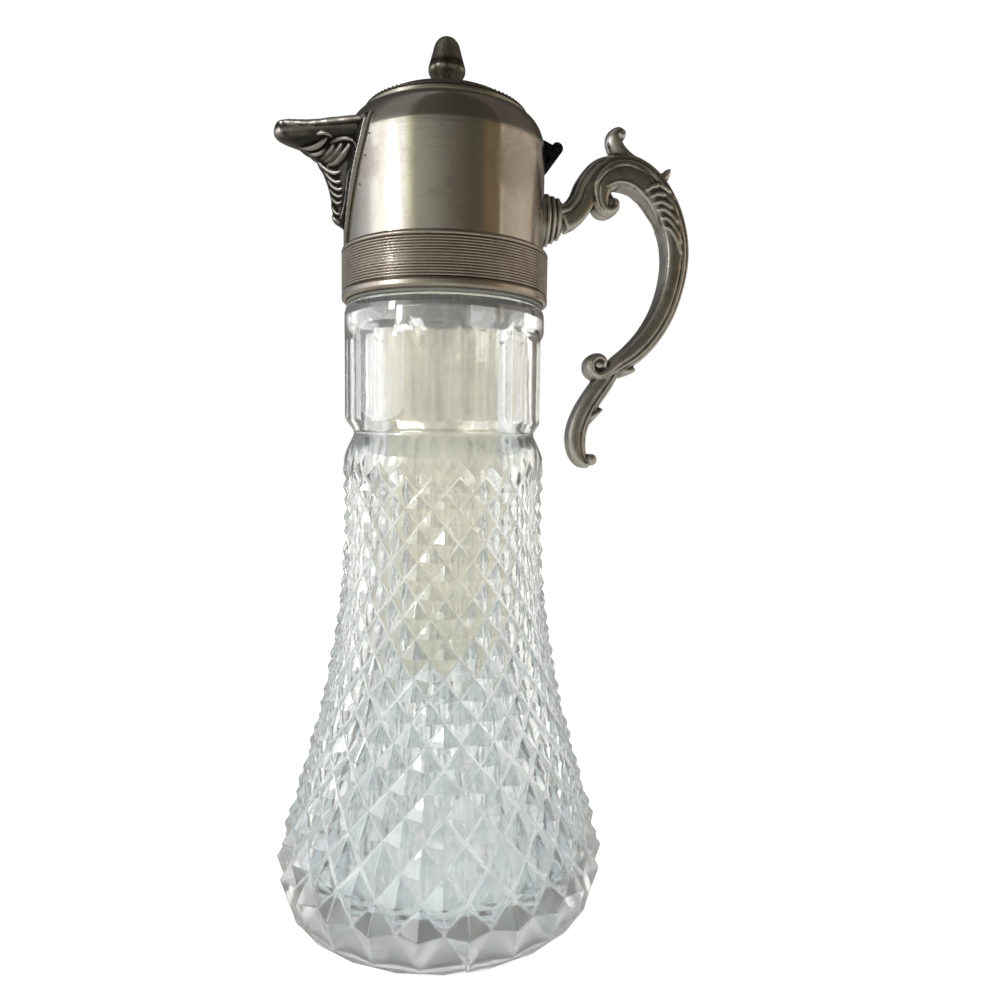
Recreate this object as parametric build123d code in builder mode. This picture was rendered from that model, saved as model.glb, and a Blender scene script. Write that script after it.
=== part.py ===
from build123d import *
from math import acos, atan2, cos, radians, sin
import os

os.makedirs("parts", exist_ok=True)

# A jug in two halves: a pressed-glass bottle, and a metal pouring mount that lifts off its neck.
# Origin at the centre of the flat base, +Z up, handle towards +X, spout towards -X. Millimetres.

# ---- Bottle ----
base_radius = 55.0              # flat foot that the jug stands on
heel_height = 11.0              # height of the widest girth
widest_radius = 62.0
heel_turn = 2.1                 # how far the heel has turned in, a third of the way up
waist_over_mount = 1.5          # slim part above the flared flank, outside the mount
waist_height = 135.0
groove_height = 169.4           # centre of the groove under the neck panels
groove_under_mount = 3.1        # groove's bottom, inside the mount's radius
groove_half_height = 5.2
upper_girth_drop = 9.4          # from the groove down to the full girth under it
panel_count = 12
panel_over_mount = 0.7          # arrises between the flat panels, outside the mount
panel_top = 204.0
ledge_height = 214.5            # flat ledge that carries the gasket flange
ledge_rounding = 2.5
gasket_space = 3.2              # between the mount's bore and the plain neck that enters it
finish_height = 16.5
finish_wall = 3.5
neck_bore_step = 1.1            # the bore is this much wider under the finish
diamond_wall = 8.0              # wall over the tips of the cut diamonds
base_thickness = 13.0
bore_corner_radius = 8.0

# ---- Mount ----
mount_radius = 35.1
sheet = 0.9                     # gauge of the spun shell
skirt_gap = 1.0                 # the gasket flange under the skirt
mount_height = 62.7             # from the skirt edge to the rim that the lid sits on
shoulder_width = 5.8
shoulder_height = 10.5
rim_ledge = 3.5                 # flat rim inside the shoulder
solder_gap = 0.05

collar_wall = 1.65
collar_height = 18.0
rib_count = 14
rib_pitch = 0.9
rib_depth = 0.35
ribs_start = 3.0                # skirt edge to the lowest rib

gasket_clearance = 0.3          # gasket to the glass neck
gasket_fit = 0.05               # gasket to the skirt

# ---- Ice tube and what it hangs in ----
tube_flange_width = 2.4         # flange outside the tube
tube_flange_clearance = 0.6     # flange inside the rim's opening
tube_wall = 2.0
tube_taper = 1.4                # narrower at the bottom by this much
tube_length = 199.0
tube_flange_thickness = 2.2
tube_flange_drop = 1.2          # flange top under the rim
tube_clearance = 0.3
cushion_thickness = 0.8
seat_depth = 2.6

# ---- Lid ----
lid_inset = 0.1                 # lid inside the end of the shoulder
lid_gap = 0.1                   # lid edge to the rim it closes on
lid_edge_height = 2.0
lid_rise = 6.9                  # dome above the edge
lid_sheet = 1.0
lid_lip_depth = 1.0
lid_lip_clearance = 0.5
bead_ring_inset = 1.15
bead_radius = 0.8

finial_height = 21.2
finial_radius = 6.6
finial_stud_radius = 2.0
finial_stud_length = 5.0
finial_foot_radius = 3.9
stud_clearance = 0.15
nut_width = 6.4
nut_thickness = 2.2
washer_radius = 4.6
washer_thickness = 0.7

# ---- Hinge ----
hinge_reach = 4.4               # pin axis outside the mount
hinge_drop = 5.7                # pin axis below the rim
barrel_radius = 2.1
pin_radius = 0.9
pin_head_radius = 1.5
pin_head_thickness = 0.7
pin_clearance = 0.05
leaf_width = 5.0
leaf_thickness = 1.1
leaf_clearance = 0.35           # strap over the shoulder
knuckle_clearance = 0.35        # bracket round the strap's knuckle
knuckle_width = 3.2
knuckle_gap = 0.15
bracket_height = 8.9

# ---- Handle ----
ferrule_height = 21.5           # over the lowest ring
ferrule_width = 13.0
ferrule_length = 7.6
ferrule_centre = 32.3           # above the skirt edge
ferrule_taper = 0.58
ferrule_rise = 1.6              # the outer end stands this much higher than the root
ferrule_ring_count = 3
ferrule_ring_pitch = 2.1
ferrule_ring_start = 1.4        # first ring outside the mount
ferrule_ring_thickness = 1.1
ferrule_ring_height = 0.55      # rings stand this much proud of the cone
handle_width = 9.6              # across, along Y
screw_radius = 1.9
screw_head_radius = 3.6
screw_head_thickness = 2.0
screw_length = 15.5
screw_clearance = 0.15
thread_clearance = 0.03
screw_end_room = 0.6            # left beyond the screw's end
screw_slot = 1.0
head_clearance = 0.02
screw_washer_radius = 5.0
screw_washer_thickness = 0.8

# ---- Spout ----
spout_wall = 1.5
spout_gap = 0.1                 # foot of the seam above the collar
spout_low_angle = 8.0           # half angle that the spout covers at the bottom of the seam
spout_high_angle = 39.0         # and at the top
seam_thickness = 0.9            # flange that the spout is soldered by, with the solder under it
spout_drop = 6.0                # rim of the spout below the rim of the mount
beak_rise = 1.2                 # tip of the beak above that

# ---- Worked out from the sizes above ----
mount_bore = mount_radius - sheet
finish_radius = mount_bore - gasket_space
finish_bore_radius = finish_radius - finish_wall
neck_bore_radius = finish_bore_radius + neck_bore_step
waist_radius = mount_radius + waist_over_mount
groove_radius = mount_radius - groove_under_mount
panel_radius = mount_radius + panel_over_mount
rim_radius = mount_radius - shoulder_width
rim_opening_radius = rim_radius - rim_ledge
tube_flange_radius = rim_opening_radius - tube_flange_clearance
tube_radius = tube_flange_radius - tube_flange_width
tube_bottom_radius = tube_radius - tube_taper
lid_radius = rim_radius - lid_inset
finish_top = ledge_height + finish_height
skirt_edge = ledge_height + skirt_gap
rim_height = skirt_edge + mount_height
collar_radius = mount_radius + collar_wall
girth_height = groove_height - upper_girth_drop
panel_low = groove_height + groove_half_height
lid_edge = rim_height + lid_gap
lid_top = lid_edge + lid_edge_height + lid_rise
hinge_x = mount_radius + hinge_reach
hinge_z = rim_height - hinge_drop
ferrule_z = skirt_edge + ferrule_centre
screw_z = ferrule_z + ferrule_rise
collar_top = skirt_edge + collar_height
spout_bottom = collar_top + spout_gap
spout_top = rim_height - spout_drop


def finish(part, name):
    """Label a finished piece and write it under its own name."""
    part.label = name
    export_step(part, f"parts/{name}.step")


# The bottle: a flared body, a groove, twelve flat panels and a plain neck for the mount.
flank_shares = [(0.09, 0.90), (0.22, 0.71), (0.355, 0.515), (0.515, 0.31), (0.68, 0.16), (0.84, 0.05)]
flank_height = waist_height - heel_height
flank_width = widest_radius - waist_radius
flank = [(waist_radius + share * flank_width, heel_height + rise * flank_height)
         for rise, share in flank_shares]
bore_flank = [(radius - diamond_wall, height) for radius, height in flank]
bore_floor_radius = widest_radius - diamond_wall - bore_corner_radius
bore_corner = (bore_floor_radius + 0.9 * bore_corner_radius, base_thickness + bore_corner_radius)

with BuildPart() as glass_bottle:
    with BuildSketch(Plane.XZ) as bottle_section:
        with BuildLine() as outside:
            Line((0, 0), (base_radius, 0))
            ThreePointArc((base_radius, 0), (widest_radius - heel_turn, heel_height * 0.36),
                          (widest_radius, heel_height))
            Spline((widest_radius, heel_height), *flank, (waist_radius, waist_height),
                   tangents=[(0, 1), (0, 1)])
            ThreePointArc((waist_radius, waist_height),
                          (waist_radius + 0.3, (waist_height + girth_height) / 2),
                          (waist_radius - 0.4, girth_height))
            Line((waist_radius - 0.4, girth_height), (groove_radius + 0.6, groove_height - 0.8))
            Line((groove_radius + 0.6, groove_height - 0.8), (groove_radius + 0.6, groove_height + 0.8))
            Line((groove_radius + 0.6, groove_height + 0.8), (panel_radius, panel_low))
            Line((panel_radius, panel_low), (panel_radius, ledge_height - ledge_rounding))
            ThreePointArc((panel_radius, ledge_height - ledge_rounding),
                          (panel_radius - 0.29 * ledge_rounding, ledge_height - 0.29 * ledge_rounding),
                          (panel_radius - ledge_rounding, ledge_height))
            Line((panel_radius - ledge_rounding, ledge_height), (finish_radius, ledge_height))
            Line((finish_radius, ledge_height), (finish_radius, finish_top))
            Line((finish_radius, finish_top), (0, finish_top))
            Line((0, finish_top), (0, 0))
        make_face()
    revolve(axis=Axis.Z)
    panel_height = panel_top - panel_low
    with BuildSketch(Plane.XY.offset(panel_low)):
        Circle(panel_radius + 2)
        RegularPolygon(panel_radius, panel_count, mode=Mode.SUBTRACT)
    extrude(amount=panel_height, mode=Mode.SUBTRACT)
    with BuildSketch(Plane.XZ):
        with BuildLine():
            Line((0, base_thickness), (bore_floor_radius, base_thickness))
            ThreePointArc((bore_floor_radius, base_thickness),
                          (bore_floor_radius + 0.71 * bore_corner_radius,
                           base_thickness + 0.29 * bore_corner_radius),
                          bore_corner)
            Spline(bore_corner, *bore_flank[1:], (neck_bore_radius, waist_height),
                   tangents=[(0, 1), (0, 1)])
            Line((neck_bore_radius, waist_height), (neck_bore_radius, ledge_height - 4))
            Line((neck_bore_radius, ledge_height - 4), (finish_bore_radius, ledge_height))
            Line((finish_bore_radius, ledge_height), (finish_bore_radius, finish_top))
            Line((finish_bore_radius, finish_top), (0, finish_top))
            Line((0, finish_top), (0, base_thickness))
        make_face()
    revolve(axis=Axis.Z, mode=Mode.SUBTRACT)
finish(glass_bottle.part, "glass_bottle")

# The gasket: a sleeve inside the skirt, with a flange that the mount's weight rests on.
gasket_top = finish_top - 1.0
with BuildPart() as neck_gasket:
    with BuildSketch(Plane.XY.offset(ledge_height)):
        Circle(mount_radius)
        Circle(finish_radius + gasket_clearance, mode=Mode.SUBTRACT)
    extrude(amount=skirt_gap)
    with BuildSketch(Plane.XY.offset(skirt_edge)):
        Circle(mount_bore - gasket_fit)
        Circle(finish_radius + gasket_clearance, mode=Mode.SUBTRACT)
    extrude(amount=gasket_top - skirt_edge)
finish(neck_gasket.part, "neck_gasket")

# Where the shoulder starts to turn in.
shoulder_start = rim_height - shoulder_height


def mount_outline(grow, top):
    """The mount's outer profile, grown outwards, closed on the axis: for saddles that sit on it."""
    Line((0, skirt_edge - 20), (mount_radius + grow, skirt_edge - 20))
    Line((mount_radius + grow, skirt_edge - 20), (mount_radius + grow, shoulder_start))
    EllipticalCenterArc((rim_radius, shoulder_start), shoulder_width + grow, shoulder_height + grow,
                        start_angle=0, arc_size=90)
    Line((rim_radius, rim_height + grow), (rim_radius, top))
    Line((rim_radius, top), (0, top))
    Line((0, top), (0, skirt_edge - 20))


with BuildPart() as mount_space:
    with BuildSketch(Plane.XZ):
        with BuildLine():
            mount_outline(solder_gap, rim_height + 1)
        make_face()
    revolve(axis=Axis.Z)


def spout_angle(height):
    """Half angle that the spout covers on the mount at a height."""
    share = (height - spout_bottom) / (spout_top - spout_bottom)
    return spout_low_angle + share * (spout_high_angle - spout_low_angle)


def mount_radius_at(height):
    """Outer radius of the mount at a height: the plain cylinder, then the elliptical shoulder."""
    share = min(max((height - shoulder_start) / shoulder_height, 0), 0.98)
    return rim_radius + shoulder_width * (1 - share ** 2) ** 0.5


def beak_section(height, nose, nose_radius, inset):
    """Plan of the spout at one height: two straight flanks that meet a rounded nose."""
    angle = radians(spout_angle(height))
    root_radius = mount_radius_at(height) - 1.6 - 2 * inset
    root_x = -root_radius * cos(angle)
    root_y = root_radius * sin(angle) - inset / 2
    nose_x = nose + nose_radius + inset
    radius = nose_radius - 0.4 * inset
    reach = ((root_x - nose_x) ** 2 + root_y ** 2) ** 0.5
    turn = atan2(root_y, root_x - nose_x) + acos(radius / reach)
    touch_x = nose_x + radius * cos(turn)
    touch_y = radius * sin(turn)
    Line((root_x, root_y), (touch_x, touch_y))
    ThreePointArc((touch_x, touch_y), (nose_x - radius, 0), (touch_x, -touch_y))
    Line((touch_x, -touch_y), (root_x, -root_y))
    Line((root_x, -root_y), (root_x, root_y))


# Reach of the spout's keel outside the mount, by height above the foot of the seam, with its nose.
keel = [(0.0, 0.5, 2.0), (7.0, 1.8, 2.4), (11.5, 4.6, 3.0), (19.0, 5.8, 3.4), (25.0, 8.0, 3.6),
        (29.0, 10.6, 3.8), (32.0, 15.0, 4.0), (33.8, 20.8, 4.2), (37.6, 23.9, 4.4), (42.0, 22.0, 4.4)]


def beak_plans(inset):
    """The plans of the spout, bottom to top, each drawn in by the same inset."""
    plans = []
    for rise, reach, nose_radius in keel:
        with BuildSketch(Plane.XY.offset(spout_bottom + rise)) as plan:
            with BuildLine():
                beak_section(spout_bottom + rise, -(mount_radius + reach), nose_radius, inset)
            make_face()
        plans.append(plan.sketch)
    return plans


def seam_plan(height):
    """The wedge of the mount that the spout covers at a height, out to well past its skin."""
    far = mount_radius + 10
    angle = radians(spout_angle(height))
    with BuildSketch(Plane.XY.offset(height)) as plan:
        Polygon((0, 0), (-far * cos(angle), far * sin(angle)), (-far * cos(angle), -far * sin(angle)),
                align=None)
    return plan.sketch


# The flange that the spout is soldered by: a skin over the mount, between the two seams.
with BuildPart() as spout_flange:
    with BuildSketch(Plane.XZ):
        with BuildLine():
            mount_outline(seam_thickness, rim_height)
        make_face()
    revolve(axis=Axis.Z)
    loft(sections=[seam_plan(spout_bottom), seam_plan(spout_top)], mode=Mode.INTERSECT)

with BuildPart() as spout_channel:
    loft(sections=beak_plans(spout_wall))

with BuildPart() as spout:
    loft(sections=beak_plans(0))
    add(spout_flange.part)
    add(mount_space.part, mode=Mode.SUBTRACT)
    add(spout_channel.part, mode=Mode.SUBTRACT)
    with BuildSketch(Plane.XZ):
        with BuildLine():
            Polyline((0, spout_top), (-mount_radius - 8, spout_top), (-mount_radius - 22, spout_top + beak_rise),
                     (-mount_radius - 30, spout_top + beak_rise), (-mount_radius - 30, rim_height + 20),
                     (0, rim_height + 20), close=True)
        make_face()
    extrude(amount=mount_radius, both=True, mode=Mode.SUBTRACT)
finish(spout.part, "spout")

# The mount: a spun shell with a rounded shoulder, an open rim, and a window behind the spout.
window_foot = spout_bottom + 11.5
window_half_width = 7.5
with BuildPart() as mount_shell:
    with BuildSketch(Plane.XZ):
        with BuildLine():
            Line((mount_bore, skirt_edge), (mount_radius, skirt_edge))
            Line((mount_radius, skirt_edge), (mount_radius, shoulder_start))
            EllipticalCenterArc((rim_radius, shoulder_start), shoulder_width, shoulder_height,
                                start_angle=0, arc_size=90)
            Line((rim_radius, rim_height), (rim_opening_radius, rim_height))
            Line((rim_opening_radius, rim_height), (rim_opening_radius, rim_height - sheet))
            Line((rim_opening_radius, rim_height - sheet), (rim_radius, rim_height - sheet))
            EllipticalCenterArc((rim_radius, shoulder_start), shoulder_width - sheet, shoulder_height - sheet,
                                start_angle=0, arc_size=90)
            Line((mount_bore, shoulder_start), (mount_bore, skirt_edge))
        make_face()
    revolve(axis=Axis.Z)
    with BuildSketch(Plane.YZ.offset(-mount_radius - 5)):
        with Locations((0, window_foot + window_half_width)):
            Circle(window_half_width)
        with Locations((0, (window_foot + window_half_width + shoulder_start) / 2)):
            Rectangle(2 * window_half_width, shoulder_start - window_foot - window_half_width)
    extrude(amount=mount_radius, mode=Mode.SUBTRACT)
    with BuildSketch(Plane.YZ.offset(mount_bore - 5)):
        with Locations((0, screw_z)):
            Circle(screw_radius + screw_clearance)
    extrude(amount=10, mode=Mode.SUBTRACT)
finish(mount_shell.part, "mount_shell")

# The collar: a band round the skirt, with a top bead, close ribs, a plain strip and a rolled lip.
collar_bore = mount_radius + solder_gap
lip_land = ribs_start + 0.4
with BuildPart() as reeded_collar:
    with BuildSketch(Plane.XZ):
        with BuildLine():
            Line((collar_bore, skirt_edge), (collar_radius - 0.9, skirt_edge))
            ThreePointArc((collar_radius - 0.9, skirt_edge), (collar_radius - 0.26, skirt_edge + 0.3),
                          (collar_radius, skirt_edge + 1.0))
            Line((collar_radius, skirt_edge + 1.0), (collar_radius, skirt_edge + lip_land))
            for rib in range(rib_count):
                foot = skirt_edge + lip_land + rib * rib_pitch
                Line((collar_radius, foot), (collar_radius - rib_depth, foot + 0.15))
                ThreePointArc((collar_radius - rib_depth, foot + 0.15),
                              (collar_radius, foot + 0.15 + (rib_pitch - 0.15) / 2),
                              (collar_radius - rib_depth, foot + rib_pitch - 0.05))
                Line((collar_radius - rib_depth, foot + rib_pitch - 0.05), (collar_radius, foot + rib_pitch))
            ribs_top = skirt_edge + lip_land + rib_count * rib_pitch
            Line((collar_radius, ribs_top), (collar_radius, collar_top - 1.2))
            ThreePointArc((collar_radius, collar_top - 1.2), (collar_radius - 0.35, collar_top - 0.35),
                          (collar_radius - 1.2, collar_top))
            Line((collar_radius - 1.2, collar_top), (collar_bore, collar_top))
            Line((collar_bore, collar_top), (collar_bore, skirt_edge))
        make_face()
    revolve(axis=Axis.Z)
finish(reeded_collar.part, "reeded_collar")

# The seat: a cupped ring under the rim that carries the ice tube on a cushion.
flange_top = rim_height - tube_flange_drop
cushion_top = flange_top - tube_flange_thickness
seat_floor = cushion_top - cushion_thickness
seat_radius = rim_opening_radius + sheet
seat_opening = tube_radius + tube_clearance
seat_top = rim_height - sheet - solder_gap
with BuildPart() as tube_seat:
    with BuildSketch(Plane.XZ):
        with BuildLine():
            Polyline((rim_opening_radius, seat_top), (seat_radius, seat_top),
                     (seat_radius, seat_floor - sheet), (seat_opening, seat_floor - sheet),
                     (seat_opening, seat_floor), (rim_opening_radius, seat_floor), close=True)
        make_face()
    revolve(axis=Axis.Z)
finish(tube_seat.part, "tube_seat")

with BuildPart() as tube_cushion:
    with BuildSketch(Plane.XY.offset(seat_floor)):
        Circle(rim_opening_radius - 0.2)
        Circle(seat_opening, mode=Mode.SUBTRACT)
    extrude(amount=cushion_thickness)
finish(tube_cushion.part, "tube_cushion")

# The ice tube: blown glass, flanged at the top, slightly tapered, with a round bottom.
tube_bottom = flange_top - tube_length


def tube_outline(inset, bottom, top):
    """Half section of the tube's outer or inner face, from the axis at the bottom to its top."""
    low_radius = tube_bottom_radius - inset
    high_radius = tube_radius - inset
    dome = low_radius * 0.8
    Spline((0, bottom), (low_radius * 0.72, bottom + dome * 0.31), (low_radius, bottom + dome),
           tangents=[(1, 0), (0, 1)])
    Line((low_radius, bottom + dome), (high_radius, top))


with BuildPart() as ice_tube:
    with BuildSketch(Plane.XZ):
        with BuildLine():
            tube_outline(0, tube_bottom, cushion_top)
            Polyline((tube_radius, cushion_top), (tube_flange_radius, cushion_top),
                     (tube_flange_radius, flange_top), (0, flange_top), (0, tube_bottom))
        make_face()
    revolve(axis=Axis.Z)
    with BuildSketch(Plane.XZ):
        with BuildLine():
            tube_outline(tube_wall, tube_bottom + tube_wall, flange_top)
            Polyline((tube_radius - tube_wall, flange_top), (0, flange_top), (0, tube_bottom + tube_wall))
        make_face()
    revolve(axis=Axis.Z, mode=Mode.SUBTRACT)
finish(ice_tube.part, "ice_tube")

# The lid: a spun dome that rises steeply behind the beading, with an upright edge and a locating lip.
shelf_height = lid_edge + lid_edge_height
shelf_radius = lid_radius - 2.1
lip_radius = rim_opening_radius - lid_lip_clearance
lip_bore = lip_radius - lid_sheet
foot_seat = finial_foot_radius + 0.4
nut_seat = washer_radius + 0.5
with BuildPart() as lid:
    with BuildSketch(Plane.XZ):
        with BuildLine():
            Line((0, lid_top), (foot_seat, lid_top))
            Spline((foot_seat, lid_top), (shelf_radius * 0.52, shelf_height + lid_rise * 0.9),
                   (shelf_radius * 0.78, shelf_height + lid_rise * 0.69),
                   (shelf_radius * 0.93, shelf_height + lid_rise * 0.38), (shelf_radius, shelf_height))
            Line((shelf_radius, shelf_height), (lid_radius - 0.6, shelf_height))
            ThreePointArc((lid_radius - 0.6, shelf_height), (lid_radius - 0.18, shelf_height - 0.18),
                          (lid_radius, shelf_height - 0.6))
            Line((lid_radius, shelf_height - 0.6), (lid_radius, lid_edge))
            Line((lid_radius, lid_edge), (lip_radius, lid_edge))
            Line((lip_radius, lid_edge), (lip_radius, lid_edge - lid_lip_depth))
            Line((lip_radius, lid_edge - lid_lip_depth), (lip_bore, lid_edge - lid_lip_depth))
            Line((lip_bore, lid_edge - lid_lip_depth), (lip_bore, shelf_height - lid_sheet))
            Spline((lip_bore, shelf_height - lid_sheet), (shelf_radius * 0.875, shelf_height + lid_rise * 0.29),
                   (shelf_radius * 0.75, shelf_height + lid_rise * 0.69 - lid_sheet * 0.87),
                   (shelf_radius * 0.52, shelf_height + lid_rise * 0.9 - lid_sheet),
                   (nut_seat, lid_top - lid_sheet))
            Line((nut_seat, lid_top - lid_sheet), (0, lid_top - lid_sheet))
            Line((0, lid_top - lid_sheet), (0, lid_top))
        make_face()
    revolve(axis=Axis.Z)
    with BuildSketch(Plane.XY.offset(lid_top - 5)):
        Circle(finial_stud_radius + stud_clearance)
    extrude(amount=10, mode=Mode.SUBTRACT)
finish(lid.part, "lid")

# Beaded wire soldered on the lid's shelf.
bead_ring_radius = lid_radius - bead_ring_inset
with BuildPart() as bead_ring:
    with BuildSketch(Plane.XZ):
        with Locations((bead_ring_radius, shelf_height + bead_radius)):
            Circle(bead_radius)
    revolve(axis=Axis.Z)
finish(bead_ring.part, "bead_ring")

# The finial: a bud on a foot, cast with the stud that passes through the lid.
finial_top = lid_top + finial_height
with BuildPart() as finial:
    with BuildSketch(Plane.XZ):
        with BuildLine():
            Line((0, lid_top - finial_stud_length), (finial_stud_radius, lid_top - finial_stud_length))
            Line((finial_stud_radius, lid_top - finial_stud_length), (finial_stud_radius, lid_top))
            Line((finial_stud_radius, lid_top), (finial_foot_radius, lid_top))
            Spline((finial_foot_radius, lid_top), (finial_foot_radius - 0.5, lid_top + finial_height * 0.13),
                   (finial_radius * 0.78, lid_top + finial_height * 0.31),
                   (finial_radius, lid_top + finial_height * 0.47),
                   (finial_radius * 0.86, lid_top + finial_height * 0.63))
            Line((finial_radius * 0.86, lid_top + finial_height * 0.63),
                 (finial_radius * 0.82, lid_top + finial_height * 0.635))
            Spline((finial_radius * 0.82, lid_top + finial_height * 0.635),
                   (finial_radius * 0.76, lid_top + finial_height * 0.75),
                   (finial_radius * 0.64, lid_top + finial_height * 0.86),
                   (0, finial_top), tangent_scalars=[1, 1], tangents=[(-0.2, 1), (-1, 0)])
            Line((0, finial_top), (0, lid_top - finial_stud_length))
        make_face()
    revolve(axis=Axis.Z)
finish(finial.part, "finial")

underside = lid_top - lid_sheet
with BuildPart() as finial_washer:
    with BuildSketch(Plane.XY.offset(underside - washer_thickness)):
        Circle(washer_radius)
        Circle(finial_stud_radius + stud_clearance, mode=Mode.SUBTRACT)
    extrude(amount=washer_thickness)
finish(finial_washer.part, "finial_washer")

with BuildPart() as finial_nut:
    with BuildSketch(Plane.XY.offset(underside - washer_thickness - nut_thickness)):
        RegularPolygon(nut_width / 2, 6, major_radius=False)
        Circle(finial_stud_radius + solder_gap, mode=Mode.SUBTRACT)
    extrude(amount=nut_thickness)
finish(finial_nut.part, "finial_nut")

# The hinge: a bracket with two knuckles on the mount, a strap with one on the lid, and a pin.
leaf_over = leaf_clearance + leaf_thickness
bore_radius = pin_radius + pin_clearance
knuckle_start = leaf_width / 2 + knuckle_gap
bracket_half_width = knuckle_start + knuckle_width
with BuildPart() as lid_hinge_leaf:
    with BuildSketch(Plane.XZ):
        with BuildLine():
            under = EllipticalCenterArc((rim_radius, shoulder_start), shoulder_width + leaf_clearance,
                                        shoulder_height + leaf_clearance, start_angle=90, arc_size=-48)
            over = EllipticalCenterArc((rim_radius, shoulder_start), shoulder_width + leaf_over,
                                       shoulder_height + leaf_over, start_angle=90, arc_size=-42)
            Line(under @ 0, over @ 0)
            Line(under @ 1, (hinge_x, hinge_z - 0.2))
            Line((hinge_x, hinge_z - 0.2), (hinge_x, hinge_z + barrel_radius - 0.1))
            Line((hinge_x, hinge_z + barrel_radius - 0.1), over @ 1)
        make_face()
        with Locations((hinge_x, hinge_z)):
            Circle(barrel_radius)
            Circle(bore_radius, mode=Mode.SUBTRACT)
    extrude(amount=leaf_width / 2, both=True)
    with BuildSketch(Plane.XY.offset(rim_height)):
        Circle(lid_radius + solder_gap)
    extrude(amount=10, mode=Mode.SUBTRACT)
finish(lid_hinge_leaf.part, "lid_hinge_leaf")

with BuildPart() as hinge_bracket:
    with BuildSketch(Plane.XZ):
        with BuildLine():
            Polyline((mount_bore, hinge_z - bracket_height), (mount_radius + 0.6, hinge_z - bracket_height),
                     (hinge_x + 0.76 * barrel_radius, hinge_z - 0.65 * barrel_radius),
                     (hinge_x, hinge_z + 0.5 * barrel_radius),
                     (mount_radius - 4, hinge_z + 0.5 * barrel_radius), close=True)
        make_face()
        with Locations((hinge_x, hinge_z)):
            Circle(barrel_radius)
            Circle(bore_radius, mode=Mode.SUBTRACT)
    extrude(amount=bracket_half_width, both=True)
    add(mount_space.part, mode=Mode.SUBTRACT)
    with BuildSketch(Plane.XZ):
        with Locations((hinge_x, hinge_z)):
            Circle(barrel_radius + knuckle_clearance)
        with Locations((hinge_x - 8, hinge_z + 3.4)):
            Rectangle(16, 9.6)
    extrude(amount=knuckle_start, both=True, mode=Mode.SUBTRACT)
finish(hinge_bracket.part, "hinge_bracket")

with BuildPart() as hinge_pin:
    with BuildSketch(Plane.XZ):
        with Locations((hinge_x, hinge_z)):
            Circle(pin_radius)
    extrude(amount=bracket_half_width, both=True)
    for side in (-1, 1):
        with BuildSketch(Plane.XZ.offset(side * bracket_half_width)):
            with Locations((hinge_x, hinge_z)):
                Circle(pin_head_radius)
        extrude(amount=side * pin_head_thickness)
finish(hinge_pin.part, "hinge_pin")

# The ferrule: an oval cone with rings, saddled on the mount, that the handle is set against.
ferrule_end = mount_radius + ferrule_length
with BuildPart() as handle_ferrule:
    with BuildSketch(Plane.YZ.offset(mount_bore - 2)):
        with Locations((0, ferrule_z)):
            Ellipse(ferrule_width / 2, ferrule_height / 2)
    with BuildSketch(Plane.YZ.offset(ferrule_end)):
        with Locations((0, screw_z)):
            Ellipse(ferrule_width / 2 * ferrule_taper, ferrule_height / 2 * ferrule_taper)
    loft()
    for ring in range(ferrule_ring_count):
        ring_x = mount_radius + ferrule_ring_start + ring * ferrule_ring_pitch
        share = (ring_x - mount_bore + 2) / (ferrule_end - mount_bore + 2)
        size = 1 - share * (1 - ferrule_taper)
        with BuildSketch(Plane.YZ.offset(ring_x)):
            with Locations((0, ferrule_z + ferrule_rise * share)):
                Ellipse(ferrule_width / 2 * size + ferrule_ring_height,
                        ferrule_height / 2 * size + ferrule_ring_height)
        extrude(amount=ferrule_ring_thickness)
    add(mount_space.part, mode=Mode.SUBTRACT)
    with BuildSketch(Plane.YZ.offset(mount_bore)):
        with Locations((0, screw_z)):
            Circle(screw_radius + screw_clearance)
    extrude(amount=ferrule_length + 10, mode=Mode.SUBTRACT)
finish(handle_ferrule.part, "handle_ferrule")


def scroll(line, width):
    """Loft ovals along a smooth line of (out, up, thickness) points, to one width across.

    The handle is drawn about its own origin, on the mount's skin at the skirt's edge.
    """
    with BuildPart() as limb:
        with BuildLine(Plane.XZ):
            curve = Spline(*[(out, up) for out, up, thickness in line])
        plans = []
        for out, up, thickness in line:
            share = curve.param_at_point(Vector(out, 0, up))
            with BuildSketch(Plane(origin=curve @ share, x_dir=(0, 1, 0), z_dir=curve % share)) as plan:
                Ellipse(width / 2, thickness / 2)
            plans.append(plan.sketch)
        loft(sections=plans)
    return limb.part


# The handle's limbs, as (out, up, thickness): out from the mount, up from the skirt edge.
bow = scroll([(25.7, 36.9, 5.0), (21.4, 40.4, 7.0), (21.9, 47.5, 10.0), (27.4, 52.3, 12.5),
              (34.9, 52.4, 13.5), (42.9, 48.3, 12.5), (49.4, 40.0, 11.5), (53.1, 30.5, 10.6),
              (54.1, 21.5, 10.0), (52.9, 12.0, 9.4),
              (49.5, 1.5, 9.0), (44.1, -7.5, 8.6), (37.4, -14.5, 8.2), (30.4, -18.9, 7.6),
              (24.7, -20.0, 7.0)],
             handle_width)
stem = scroll([(ferrule_length, ferrule_centre + ferrule_rise, 11.0), (11.5, 35.6, 9.6), (15.0, 40.0, 9.2),
               (17.6, 46.0, 9.0), (22.5, 52.0, 9.0), (29.5, 55.0, 8.0)], handle_width - 1.6)
tail = scroll([(30.0, -20.0, 6.5), (25.6, -26.5, 8.0), (21.9, -31.5, 7.6), (18.5, -37.0, 7.6),
               (16.1, -43.0, 7.6), (15.5, -48.0, 7.6), (16.5, -53.0, 7.0), (19.4, -56.4, 5.6)],
              handle_width - 1.4)
thumb_scroll = scroll([(36.0, 54.0, 10.0), (31.6, 59.5, 8.6), (29.0, 64.2, 8.6), (29.2, 68.4, 4.0)],
                      handle_width - 1)
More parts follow.
